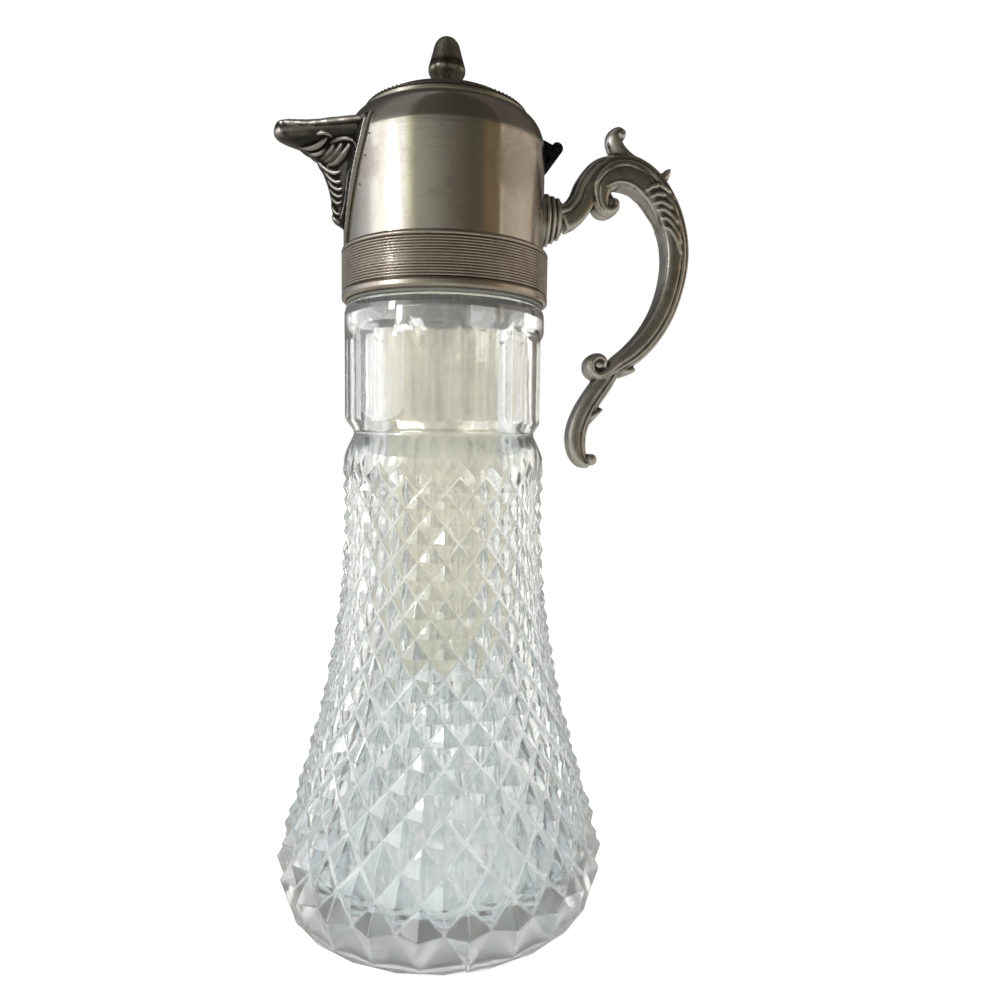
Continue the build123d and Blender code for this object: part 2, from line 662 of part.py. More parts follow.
leaf_spur = scroll([(45.5, 49.5, 7.0), (50.2, 53.0, 4.0), (51.6, 55.2, 1.6)], handle_width - 4)
lower_leaf = scroll([(28.0, -20.6, 7.0), (34.0, -21.0, 5.0), (38.0, -20.9, 2.0)], handle_width - 3)
tail_spur = scroll([(20.0, -39.5, 5.0), (22.6, -38.2, 3.4), (24.6, -36.9, 1.6)], handle_width - 4)
eyes = [(26.1, 40.9, 4.1), (23.6, -20.1, 5.3), (21.2, -55.5, 3.0)]

with BuildPart() as handle:
    add(bow)
    for limb in (stem, tail, thumb_scroll, leaf_spur, lower_leaf, tail_spur):
        add(limb)
    for out, up, radius in eyes:
        with BuildSketch(Plane.XZ):
            with Locations((out, up)):
                Circle(radius)
        extrude(amount=handle_width / 2 + 0.4, both=True)
    with BuildSketch(Plane.YZ.offset(ferrule_length)):
        with Locations((0, ferrule_centre + ferrule_rise)):
            Circle(screw_radius + thread_clearance)
    extrude(amount=screw_length - ferrule_length - sheet + screw_end_room, mode=Mode.SUBTRACT)
    with BuildSketch(Plane.YZ.offset(ferrule_length)):
        with Locations((0, ferrule_centre + ferrule_rise)):
            Rectangle(2 * mount_radius, 2 * mount_radius)
    extrude(amount=-mount_radius, mode=Mode.SUBTRACT)
finish(Pos(mount_radius, 0, skirt_edge) * handle.part, "handle")

# The handle's screw, driven from inside the mount through a curved washer.
washer_bore = mount_bore - screw_washer_thickness - solder_gap
head_face = (washer_bore ** 2 - screw_head_radius ** 2) ** 0.5 - head_clearance
with BuildPart() as handle_washer:
    with BuildSketch(Plane.XY.offset(screw_z)):
        Circle(mount_bore - solder_gap)
        Circle(washer_bore, mode=Mode.SUBTRACT)
    extrude(amount=screw_washer_radius + 1, both=True)
    with BuildSketch(Plane.YZ):
        with Locations((0, screw_z)):
            Circle(screw_washer_radius)
            Circle(screw_radius + screw_clearance, mode=Mode.SUBTRACT)
    extrude(amount=mount_radius, mode=Mode.INTERSECT)
finish(handle_washer.part, "handle_washer")

with BuildPart() as handle_screw:
    with BuildSketch(Plane.YZ.offset(head_face - screw_head_thickness)):
        with Locations((0, screw_z)):
            Circle(screw_head_radius)
    extrude(amount=screw_head_thickness)
    with BuildSketch(Plane.YZ.offset(head_face)):
        with Locations((0, screw_z)):
            Circle(screw_radius)
    extrude(amount=screw_length)
    with BuildSketch(Plane.YZ.offset(head_face - screw_head_thickness)):
        with Locations((0, screw_z)):
            Rectangle(screw_slot, 2 * screw_head_radius + 1)
    extrude(amount=screw_head_thickness * 0.5, mode=Mode.SUBTRACT)
finish(handle_screw.part, "handle_screw")
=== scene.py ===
"""Looks of the claret jug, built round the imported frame: metres, +Z up, handle towards +X."""
import logging
import math
from dataclasses import dataclass, field
from enum import Enum
from functools import cache
from typing import Callable, Iterable, Sequence

import bmesh
import bpy
import numpy as np
from bpy.types import ID, Material, Mesh, Node, NodeSocket, NodeTree, Object
from mathutils import Matrix, Vector
from mathutils.bvhtree import BVHTree


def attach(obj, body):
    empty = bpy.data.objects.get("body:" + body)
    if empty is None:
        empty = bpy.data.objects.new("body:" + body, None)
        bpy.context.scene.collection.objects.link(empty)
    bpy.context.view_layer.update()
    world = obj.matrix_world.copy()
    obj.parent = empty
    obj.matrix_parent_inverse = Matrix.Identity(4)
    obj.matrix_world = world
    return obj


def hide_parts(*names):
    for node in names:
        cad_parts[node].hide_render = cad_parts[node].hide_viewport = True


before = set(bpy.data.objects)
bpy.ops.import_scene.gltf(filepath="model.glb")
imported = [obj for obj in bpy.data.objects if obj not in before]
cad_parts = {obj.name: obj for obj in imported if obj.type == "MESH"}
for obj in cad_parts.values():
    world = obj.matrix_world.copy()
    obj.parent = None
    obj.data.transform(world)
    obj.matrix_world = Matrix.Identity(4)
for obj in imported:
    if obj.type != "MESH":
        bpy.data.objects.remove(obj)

log = logging.getLogger("claret_jug")
MM = 0.001
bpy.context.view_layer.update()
Profile = Sequence[tuple[float, float]]
Colour = tuple[float, float, float]


class Body(Enum):
    """The rigid bodies of the jug, by their names in the frame."""

    BOTTLE = "bottle"
    MOUNT = "mount"
    LID = "lid"


class Slot(Enum):
    """Material slots of the record."""

    PRESSED_GLASS = "pressed_glass"
    TUBE_GLASS = "tube_glass"
    CLEAR_PLASTIC = "clear_plastic"
    PLATED_SHEET = "plated_sheet"
    PLATED_CASTING = "plated_casting"
    DARK_HINGE = "dark_hinge"
    FASTENER = "fastener"


# ---------------------------------------------------------------- meshes


def add_object(name: str, data: ID) -> Object:
    """Put an object in the scene, at the origin.

    Args:
        name: Its name.
        data: What it shows, such as a mesh or a light.

    Returns:
        The object.
    """
    obj = bpy.data.objects.new(name, data)
    bpy.context.scene.collection.objects.link(obj)
    return obj


def make_object(name: str, verts: Iterable[Sequence[float]], faces: Iterable[Sequence[int]],
                smooth: float = 30.0) -> Object:
    """Make a mesh object from points in millimetres.

    Args:
        name: The object's name.
        verts: Points in millimetres.
        faces: Faces as point numbers, pointing outwards.
        smooth: Edges sharper than this many degrees stay sharp.

    Returns:
        The object, at the origin, linked to the scene.
    """
    mesh = bpy.data.meshes.new(name)
    mesh.from_pydata([tuple(c * MM for c in v) for v in verts], [], [tuple(f) for f in faces])
    mesh.validate()
    shade(mesh, smooth)
    return add_object(name, mesh)


def shade(mesh: Mesh, angle: float) -> None:
    """Shade a mesh smooth, with edges sharper than the angle in degrees kept sharp."""
    mesh.shade_smooth()
    mesh.set_sharp_from_angle(angle=math.radians(angle))


def clean(mesh: Mesh, merge: float = 1e-7, fill: bool = False) -> None:
    """Merge doubled points and turn every face outwards.

    Args:
        mesh: The mesh.
        merge: Distance in metres under which points merge; zero leaves them.
        fill: Whether open edges are closed.
    """
    work = bmesh.new()
    work.from_mesh(mesh)
    if merge:
        bmesh.ops.remove_doubles(work, verts=work.verts, dist=merge)
    if fill:
        bmesh.ops.holes_fill(work, edges=work.edges)
    bmesh.ops.recalc_face_normals(work, faces=work.faces)
    work.to_mesh(mesh)
    work.free()


def store(mesh: Mesh, name: str, values: Iterable[float]) -> None:
    """Store one value for each point of a mesh."""
    attribute = mesh.attributes.new(name, "FLOAT", "POINT")
    attribute.data.foreach_set("value", np.asarray(values, dtype=np.float32))


def places_and_normals(mesh: Mesh) -> tuple[np.ndarray, np.ndarray]:
    """Read where a mesh's points are and which way they face.

    Args:
        mesh: The mesh.

    Returns:
        Places in metres and normals, one row for each point.
    """
    place, normal = np.zeros(len(mesh.vertices) * 3), np.zeros(len(mesh.vertices) * 3)
    mesh.vertices.foreach_get("co", place)
    mesh.vertex_normals.foreach_get("vector", normal)
    return place.reshape(-1, 3), normal.reshape(-1, 3)


def revolve(profile: Profile, segments: int, start: float = 0.0,
            shift: Callable[[float, float], float] | None = None) -> tuple[list, list]:
    """Turn a half section about Z.

    Args:
        profile: (radius, height) points in millimetres, in order with the solid on the left going up
            outside; a radius of zero makes a pole.
        segments: Points round the axis.
        start: Turn of the first point in degrees.
        shift: Optional change of radius, called with the angle in radians and the height.

    Returns:
        Points and faces, closed only where the profile's ends are poles.
    """
    verts: list = []
    rings: list = []
    for radius, height in profile:
        if radius <= 1e-6:
            rings.append([len(verts)])
            verts.append((0.0, 0.0, height))
            continue
        ring = []
        for k in range(segments):
            turn = math.radians(start) + 2 * math.pi * k / segments
            reach = radius + (shift(turn, height) if shift else 0.0)
            ring.append(len(verts))
            verts.append((reach * math.cos(turn), reach * math.sin(turn), height))
        rings.append(ring)
    faces: list = []
    for low, high in zip(rings, rings[1:]):
        faces.extend(bridge(low, high))
    return verts, faces


def turned_ring(name: str, outline: Profile, segments: int, smooth: float) -> Object:
    """Turn a closed section about Z.

    Args:
        name: The ring's name.
        outline: (radius, height) points round the section, the first not repeated.
        segments: Points round the axis.
        smooth: Edges sharper than this many degrees stay sharp.

    Returns:
        The ring.
    """
    verts, faces = revolve([*outline, outline[0]], segments)
    ring = make_object(name, verts, faces, smooth)
    clean(ring.data)
    return ring


def tube_faces(rings: int, count: int) -> list:
    """Work out the faces of a tube that is closed at both ends.

    Args:
        rings: How many rings it has.
        count: How many points a ring has.

    Returns:
        Faces over points that are numbered ring by ring.
    """
    faces: list = []
    for k in range(rings - 1):
        for s in range(count):
            a, b = k * count + s, k * count + (s + 1) % count
            faces.append((a, b, b + count, a + count))
    return [*faces, tuple(reversed(range(count))), tuple(range((rings - 1) * count, rings * count))]


def bridge(low: Sequence[int], high: Sequence[int]) -> list:
    """Fill in between two rings, either of which may be a pole or a multiple of the other.

    Args:
        low: Point numbers of the first ring.
        high: Point numbers of the next ring.

    Returns:
        The faces.
    """
    faces: list = []
    if len(low) == 1 and len(high) == 1:
        return faces
    if len(low) == 1:
        return [(low[0], high[(k + 1) % len(high)], high[k]) for k in range(len(high))]
    if len(high) == 1:
        return [(low[k], low[(k + 1) % len(low)], high[0]) for k in range(len(low))]
    if len(low) == len(high):
        count = len(low)
        return [(low[k], low[(k + 1) % count], high[(k + 1) % count], high[k]) for k in range(count)]
    if len(low) < len(high):
        share = len(high) // len(low)
        for k in range(len(low)):
            top = [high[(k * share + s) % len(high)] for s in range(share, -1, -1)]
            faces.append([low[k], low[(k + 1) % len(low)], *top])
        return faces
    share = len(low) // len(high)
    for k in range(len(high)):
        bottom = [low[(k * share + s) % len(low)] for s in range(share + 1)]
        faces.append([*bottom, high[(k + 1) % len(high)], high[k]])
    return faces


def rounded(profile: Profile, radius: float, steps: int = 3) -> list:
    """Round the inner corners of a half section.

    Args:
        profile: The section's points.
        radius: Corner radius in millimetres, cut down where a side is short.
        steps: Points per corner.

    Returns:
        The section with each corner replaced by an arc-like curve.
    """
    points = [Vector(p) for p in profile]
    out = [tuple(points[0])]
    for before, corner, after in zip(points, points[1:], points[2:]):
        reach = min(radius, (corner - before).length * 0.45, (after - corner).length * 0.45)
        a = corner + (before - corner).normalized() * reach
        b = corner + (after - corner).normalized() * reach
        for k in range(steps + 1):
            t = k / steps
            out.append(tuple(a * (1 - t) ** 2 + corner * 2 * t * (1 - t) + b * t ** 2))
    out.append(tuple(points[-1]))
    return out


def smooth_line(points: Sequence[Sequence[float]], per_span: int) -> np.ndarray:
    """Sample a Catmull-Rom curve through points of any dimension.

    Args:
        points: The points.
        per_span: Samples from one point to the next.

    Returns:
        The samples, one row each.
    """
    p = np.array(points, float)
    p = np.vstack([2 * p[0] - p[1], p, 2 * p[-1] - p[-2]])
    out = []
    for k in range(1, len(p) - 2):
        for t in np.linspace(0, 1, per_span, endpoint=False):
            a, b, c, d = p[k - 1], p[k], p[k + 1], p[k + 2]
            out.append(0.5 * (2 * b + (c - a) * t + (2 * a - 5 * b + 4 * c - d) * t ** 2
                              + (3 * b - a - 3 * c + d) * t ** 3))
    out.append(p[-2])
    return np.array(out)


def merged_copy(node: str, name: str, smooth: float = 32.0) -> Object:
    """Copy a CAD node with its points merged, so that it shades smoothly.

    Args:
        node: The CAD node.
        name: Name of the copy.
        smooth: Edges sharper than this many degrees stay sharp.

    Returns:
        The copy, at the origin.
    """
    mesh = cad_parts[node].data.copy()
    mesh.name = name
    mesh.materials.clear()
    clean(mesh, 2e-6)
    shade(mesh, smooth)
    return add_object(name, mesh)


def join(name: str, parts: Sequence[Object], smooth: float = 30.0) -> Object:
    """Join mesh objects that sit at the origin into one, and remove them.

    Args:
        name: Name of the new object.
        parts: The objects.
        smooth: Edges sharper than this many degrees stay sharp.

    Returns:
        The new object.
    """
    work = bmesh.new()
    for part in parts:
        work.from_mesh(part.data)
    mesh = bpy.data.meshes.new(name)
    work.to_mesh(mesh)
    work.free()
    for part in parts:
        bpy.data.objects.remove(part)
    shade(mesh, smooth)
    return add_object(name, mesh)


def settle(obj: Object) -> Object:
    """Turn an object with modifiers into a plain mesh with none.

    Args:
        obj: The object.

    Returns:
        The same object with its new mesh.
    """
    bpy.context.view_layer.update()
    graph = bpy.context.evaluated_depsgraph_get()
    mesh = bpy.data.meshes.new_from_object(obj.evaluated_get(graph))
    obj.modifiers.clear()
    obj.data = mesh
    return obj


def mark_relief(obj: Object, passes: int, depth: float) -> None:
    """Store how hollow (+) or proud (-) each point is, for painted shade with dirt in hollows and wear on
    proud spots to follow.

    Args:
        obj: The piece.
        passes: Smoothing passes that the surface is compared with.
        depth: Depth in millimetres that counts as fully hollow.
    """
    mesh = obj.data
    count = len(mesh.vertices)
    place, normal = places_and_normals(mesh)
    ends = np.zeros(len(mesh.edges) * 2, int)
    mesh.edges.foreach_get("vertices", ends)
    ends = ends.reshape(-1, 2)
    near = np.maximum(np.bincount(ends.ravel(), minlength=count), 1)[:, None]
    soft = place.copy()
    for _ in range(passes):
        total = np.zeros_like(soft)
        for axis in range(3):
            total[:, axis] = (np.bincount(ends[:, 0], soft[ends[:, 1], axis], count)
                              + np.bincount(ends[:, 1], soft[ends[:, 0], axis], count))
        soft = total / near
    hollow = np.clip(((soft - place) * normal).sum(1) / (depth * MM), -1, 1)
    store(mesh, "relief", hollow)


# ---------------------------------------------------------------- node trees


class Network:
    """A node tree that is laid out in code."""

    def __init__(self, tree: NodeTree) -> None:
        """Take a tree over."""
        self.tree = tree

    def link(self, node: Node, inputs: dict) -> Node:
        """Set or link a node's inputs.

        Args:
            node: The node.
            inputs: Socket name or number to a value or another node's output.

        Returns:
            The same node.
        """
        for key, value in inputs.items():
            if isinstance(value, NodeSocket):
                self.tree.links.new(value, node.inputs[key])
            else:
                node.inputs[key].default_value = value
        return node

    def node(self, kind: str, inputs: dict | None = None, **settings: object) -> Node:
        """Add a node.

        Args:
            kind: The node's full type name.
            inputs: Socket name or number to a value or another node's output.
            settings: Properties of the node.

        Returns:
            The node.
        """
        node = self.tree.nodes.new(kind)
        for key, value in settings.items():
            setattr(node, key, value)
        return self.link(node, inputs or {})

    def math(self, operation: str, *values: object, clamp: bool = False) -> NodeSocket:
        """Result of a math node."""
        return self.node("ShaderNodeMath", dict(enumerate(values)), operation=operation,
                         use_clamp=clamp).outputs[0]


class GeometryTree(Network):
    """A geometry-nodes tree that dresses what it makes, and is used once."""

    def __init__(self, name: str, inputs: dict) -> None:
        """Start a tree with geometry in and out, and the named inputs.

        Args:
            name: The tree's name.
            inputs: Input name to socket kind. A material input is added last.
        """
        super().__init__(bpy.data.node_groups.new(name, "GeometryNodeTree"))
        for key, kind in {"Geometry": "Geometry", **inputs, "Material": "Material"}.items():
            self.tree.interface.new_socket(key, in_out="INPUT", socket_type="NodeSocket" + kind)
        self.tree.interface.new_socket("Geometry", in_out="OUTPUT", socket_type="NodeSocketGeometry")
        self.source = self.tree.nodes.new("NodeGroupInput")
        self.sink = self.tree.nodes.new("NodeGroupOutput")

    def given(self, name: str) -> NodeSocket:
        """The input of that name, inside the tree."""
        return self.source.outputs[name]

    def with_given(self, added: NodeSocket) -> NodeSocket:
        """Join geometry to what the tree is given.

        Args:
            added: The geometry to join on.

        Returns:
            Both together.
        """
        both = self.node("GeometryNodeJoinGeometry")
        for geometry in (self.given("Geometry"), added):
            self.tree.links.new(geometry, both.inputs[0])
        return both.outputs[0]

    def finish(self, geometry: NodeSocket) -> None:
        """End the tree: realise its instances, set its material, and put it out.

        Args:
            geometry: What the tree has made.
        """
        real = self.node("GeometryNodeRealizeInstances", {"Geometry": geometry})
        dressed = self.node("GeometryNodeSetMaterial",
                            {"Geometry": real.outputs[0], "Material": self.given("Material")})
        self.tree.links.new(dressed.outputs[0], self.sink.inputs[0])

    def apply(self, obj: Object, values: dict) -> Object:
        """Run the tree on an object and keep the result as a plain mesh.

        Args:
            obj: The object that the tree works on.
            values: Input name to value.

        Returns:
            The same object with its new mesh.
        """
        names = {item.name: item.identifier for item in self.tree.interface.items_tree
                 if item.in_out == "INPUT"}
        modifier = obj.modifiers.new(self.tree.name, "NODES")
        modifier.node_group = self.tree
        for name, value in values.items():
            modifier[names[name]] = value
        return settle(obj)


def diamond_tree() -> GeometryTree:
    """Tree that cuts a band of pyramids round a body and joins it to the plain parts.

    Returns:
        The tree. Its Rows object is a line of (radius, 0, height) points, one per half row.
    """
    tree = GeometryTree("diamond_cutting", {"Rows": "Object", "Row Count": "Int", "Columns": "Int",
                                            "First Angle": "Float", "Depth Share": "Float"})
    rows = tree.node("GeometryNodeObjectInfo", {"Object": tree.given("Rows")})
    wide = tree.math("ADD", tree.given("Columns"), 1.0)
    grid = tree.node("GeometryNodeMeshGrid",
                     {"Size X": 1.0, "Size Y": 1.0, "Vertices X": wide,
                      "Vertices Y": tree.given("Row Count")})
    place = tree.node("ShaderNodeSeparateXYZ", {0: tree.node("GeometryNodeInputPosition").outputs[0]})
    column = tree.math("ROUND", tree.math("MULTIPLY", tree.math("ADD", place.outputs[0], 0.5),
                                          tree.given("Columns")))
    last = tree.math("SUBTRACT", tree.given("Row Count"), 1.0)
    row = tree.math("ROUND", tree.math("MULTIPLY", tree.math("ADD", place.outputs[1], 0.5), last))
    profile = tree.node("GeometryNodeSampleIndex",
                        {"Geometry": rows.outputs["Geometry"], "Index": row}, data_type="FLOAT_VECTOR")
    here = tree.node("GeometryNodeInputPosition").outputs[0]
    tree.tree.links.new(here, profile.inputs["Value"])
    at = tree.node("ShaderNodeSeparateXYZ", {0: profile.outputs[0]})
    valley = tree.math("MODULO", tree.math("ADD", column, row), 2.0)
    inside = tree.math("MULTIPLY", tree.math("GREATER_THAN", row, 0.5),
                       tree.math("LESS_THAN", row, tree.math("SUBTRACT", last, 0.5)))
    uneven = tree.node("FunctionNodeRandomValue", {2: 0.90, 3: 1.10, "Seed": 11},
                       data_type="FLOAT").outputs[1]
    eased = tree.math("SUBTRACT", 1.0, tree.math("MULTIPLY", tree.math("LESS_THAN", row, 1.5), 0.8))
    deep = tree.math("MULTIPLY", tree.math("MULTIPLY", tree.given("Depth Share"), uneven), eased)
    cut = tree.math("MULTIPLY", tree.math("MULTIPLY", valley, inside), deep)
    reach = tree.math("MULTIPLY", at.outputs[0], tree.math("SUBTRACT", 1.0, cut))
    turn = tree.math("ADD", tree.given("First Angle"),
                     tree.math("DIVIDE", tree.math("MULTIPLY", column, 2 * math.pi), tree.given("Columns")))
    point = tree.node("ShaderNodeCombineXYZ",
                      {0: tree.math("MULTIPLY", reach, tree.math("COSINE", turn)),
                       1: tree.math("MULTIPLY", reach, tree.math("SINE", turn)), 2: at.outputs[2]})
    rolled = tree.node("GeometryNodeSetPosition", {"Geometry": grid.outputs[0], "Position": point.outputs[0]})
    both = tree.with_given(rolled.outputs[0])
    closed = tree.node("GeometryNodeMergeByDistance", {"Geometry": both, "Distance": 5e-6})
    facets = tree.node("GeometryNodeTriangulate", {0: closed.outputs[0]}, quad_method="SHORTEST_DIAGONAL")
    tree.finish(facets.outputs[0])
    return tree


def bead_tree() -> GeometryTree:
    """Tree that sets round beads on a ring, on top of the geometry it is given.

    Returns:
        The tree.
    """
    tree = GeometryTree("beading", {"Count": "Int", "Ring Radius": "Float", "Height": "Float",
                                    "Bead Radius": "Float"})
    ring = tree.node("GeometryNodeMeshCircle", {"Vertices": tree.given("Count"),
                                                "Radius": tree.given("Ring Radius")})
    lift = tree.node("ShaderNodeCombineXYZ", {2: tree.given("Height")})
    raised = tree.node("GeometryNodeSetPosition", {"Geometry": ring.outputs[0], "Offset": lift.outputs[0]})
    bead = tree.node("GeometryNodeMeshUVSphere", {"Segments": 10, "Rings": 6,
                                                  "Radius": tree.given("Bead Radius")})
    set_on = tree.node("GeometryNodeInstanceOnPoints", {"Points": raised.outputs[0],
                                                        "Instance": bead.outputs[0]})
    tree.finish(tree.with_given(set_on.outputs[0]))
    return tree


def rib_tree() -> GeometryTree:
    """Tree that stacks round ribs up a band.

    Returns:
        The tree.
    """
    tree = GeometryTree("reeding", {"Count": "Int", "Ring Radius": "Float", "First Height": "Float",
                                    "Pitch": "Float", "Rib Radius": "Float"})
    step = tree.node("ShaderNodeCombineXYZ", {2: tree.given("Pitch")})
    foot = tree.node("ShaderNodeCombineXYZ", {2: tree.given("First Height")})
    stack = tree.node("GeometryNodeMeshLine", {"Count": tree.given("Count"),
                                               "Start Location": foot.outputs[0],
                                               "Offset": step.outputs[0]})
    ring = tree.node("GeometryNodeCurvePrimitiveCircle", {"Resolution": 192,
                                                          "Radius": tree.given("Ring Radius")})
    wire = tree.node("GeometryNodeCurvePrimitiveCircle", {"Resolution": 8,
                                                          "Radius": tree.given("Rib Radius")})
    rib = tree.node("GeometryNodeCurveToMesh", {"Curve": ring.outputs[0], "Profile Curve": wire.outputs[0]})
    set_on = tree.node("GeometryNodeInstanceOnPoints", {"Points": stack.outputs[0],
                                                        "Instance": rib.outputs[0]})
    tree.finish(tree.with_given(set_on.outputs[0]))
    return tree


class ShaderTree(Network):
    """A shader tree, with the steps that the finishes share."""

    def ramp(self, source: NodeSocket, low: float, high: float, to_low: float = 0.0,
             to_high: float = 1.0) -> NodeSocket:
        """Map a range of values to another, clamped, with smooth ends."""
        return self.node("ShaderNodeMapRange", {0: source, 1: low, 2: high, 3: to_low, 4: to_high},
                         interpolation_type="SMOOTHSTEP").outputs[0]

    def mix(self, share: object, a: object, b: object, blend: str = "MIX") -> NodeSocket:
        """Mix two colours, each a node's output or a colour of three values."""
        a, b = (c if isinstance(c, NodeSocket) else (*c, 1) for c in (a, b))
        return self.node("ShaderNodeMix", {0: share, 6: a, 7: b}, data_type="RGBA",
                         blend_type=blend).outputs[2]

    def bump(self, height: NodeSocket, strength: float, distance: float) -> NodeSocket:
        """Normal of a surface that a height lifts by up to a distance in metres."""
        return self.node("ShaderNodeBump", {"Height": height, "Strength": strength,
                                            "Distance": distance}).outputs[0]

    def stored(self, name: str) -> NodeSocket:
        """Value that the mesh stores under a name."""
        return self.node("ShaderNodeAttribute", attribute_name=name).outputs["Fac"]

    def use(self, group: NodeTree, inputs: dict) -> Node:
        """Place a group."""
        node = self.node("ShaderNodeGroup", node_tree=group)
        return self.link(node, inputs)


class GroupTree(ShaderTree):
    """A shader group that several finishes share."""

    def __init__(self, name: str, inputs: dict, outputs: Sequence[str]) -> None:
        """Start the group.

        Args:
            name: The group's name.
            inputs: Input name to (socket kind, default).
            outputs: Names of its outputs, each a mask or a height.
        """
        super().__init__(bpy.data.node_groups.new(name, "ShaderNodeTree"))
        for key, (kind, value) in inputs.items():
            made = self.tree.interface.new_socket(key, in_out="INPUT", socket_type="NodeSocket" + kind)
            made.default_value = value
        for key in outputs:
            self.tree.interface.new_socket(key, in_out="OUTPUT", socket_type="NodeSocketFloat")
        self.source = self.tree.nodes.new("NodeGroupInput")
        self.sink = self.tree.nodes.new("NodeGroupOutput")

    def noise(self, scale: object, detail: float, place: NodeSocket | None = None,
              **more: float) -> NodeSocket:
        """Noise over the piece.

        Args:
            scale: Its scale, a value or a socket.
            detail: Its detail.
            place: Where it is read, if not at the plain place on the piece.
            more: Other inputs of the noise, by name.

        Returns:
            Its value.
        """
        place = place or self.node("ShaderNodeTexCoord").outputs["Object"]
        return self.node("ShaderNodeTexNoise", {"Vector": place, "Scale": scale, "Detail": detail,
                                                **more}).outputs[0]

    def close(self, results: dict) -> NodeTree:
        """Put the results out, and return the group."""
        self.link(self.sink, results)
        return self.tree


class MaterialTree(ShaderTree):
    """A material with one principled shader."""

    def __init__(self, name: str, constants: dict) -> None:
        """Start the material.

        Args:
            name: Its name.
            constants: Socket name of its shader to a plain value.
        """
        self.material = bpy.data.materials.new(name)
        self.material.use_nodes = True
        super().__init__(self.material.node_tree)
        self.shader = self.tree.nodes["Principled BSDF"]
        self.link(self.shader, constants)

    def finish(self, inputs: dict) -> Material:
        """Link the shader's inputs, and return the material."""
        self.link(self.shader, inputs)
        return self.material


@cache
def tarnish_group() -> NodeTree:
    """Blotches of tarnish and fine specks, as two masks.

    Returns:
        The group.
    """
    net = GroupTree("tarnish", {"Blotch Scale": ("Float", 60.0), "Speck Scale": ("Float", 900.0)},
                    ("Blotches", "Specks"))
    given = net.source.outputs
    place = net.node("ShaderNodeTexCoord").outputs["Object"]
    big = net.noise(given["Blotch Scale"], 5.0, place, Roughness=0.6, Distortion=0.6)
    small = net.noise(given["Speck Scale"], 3.0, place, Roughness=0.7)
    return net.close({"Blotches": net.ramp(big, 0.42, 0.66), "Specks": net.ramp(small, 0.60, 0.74)})


@cache
def hollow_shade_and_wear_group() -> NodeTree:
    """Painted shade with dirt in the hollows, and bright wear on proud edges, from the stored relief.

    Returns:
        The group.
    """
    net = GroupTree("edge_wear", {"Unevenness": ("Float", 0.5)}, ("Shade And Dirt", "Wear"))
    broken = net.math("SUBTRACT", net.noise(350.0, 4.0), 0.5)
    uneven = net.math("MULTIPLY_ADD", broken, net.source.outputs["Unevenness"], net.stored("relief"))
    return net.close({"Shade And Dirt": net.ramp(uneven, 0.02, 0.45), "Wear": net.ramp(uneven, -0.12, -0.55)})


@cache
def grain_group() -> NodeTree:
    """Fine scratches and ripple, as one height.

    Returns:
        The group.
    """
    net = GroupTree("grain", {"Scale": ("Float", 800.0), "Stretch": ("Vector", (1.0, 1.0, 1.0))}, ("Height",))
    given = net.source.outputs
    place = net.node("ShaderNodeTexCoord").outputs["Object"]
    stretched = net.node("ShaderNodeMapping", {"Vector": place, "Scale": given["Stretch"]}).outputs[0]
    return net.close({"Height": net.noise(given["Scale"], 4.0, stretched)})


# ---------------------------------------------------------------- finishes


def shaded(colour: Colour, *shares: float) -> Colour:
    """A colour with its values taken down, by one share or by one for each."""
    return tuple(c * share for c, share in zip(colour, shares * 3))


@dataclass(frozen=True)
class PlatedSheet:
    """Polished plate on spun sheet, with patches of warm tarnish, specks of dirt and painted shade in its
    hollows.
    """

    name: str = "plated_sheet"
    bright: Colour = (0.66, 0.635, 0.58)
    tarnished: Colour = (0.50, 0.43, 0.38)
    dirt_and_shade: Colour = (0.16, 0.13, 0.10)
    roughness: float = 0.13
    blotch_scale: float = 45.0
    spinning: float = 0.12

    def material(self) -> Material:
        """Build the material.

        Returns:
            The material.
        """
        net = MaterialTree(self.name, {"Metallic": 1.0})
        tarnish = net.use(tarnish_group(), {"Blotch Scale": self.blotch_scale, "Speck Scale": 700.0})
        wear = net.use(hollow_shade_and_wear_group(), {"Unevenness": 0.4})
        grain = net.use(grain_group(), {"Scale": 60.0, "Stretch": (1.0, 1.0, 14.0)})
        blotches, specks = tarnish.outputs["Blotches"], tarnish.outputs["Specks"]
        colour = net.mix(net.math("MULTIPLY", blotches, 0.55), self.bright, self.tarnished)
        colour = net.mix(net.math("MULTIPLY", specks, 0.35), colour, self.dirt_and_shade)
        # Painted shade with dirt: the hollows darken towards the dark colour.
        colour = net.mix(wear.outputs["Shade And Dirt"], colour, self.dirt_and_shade)
        return net.finish({"Base Color": colour,
                           "Roughness": net.ramp(blotches, 0.0, 1.0, self.roughness, self.roughness + 0.13),
                           "Normal": net.bump(grain.outputs["Height"], self.spinning, 0.0002)})


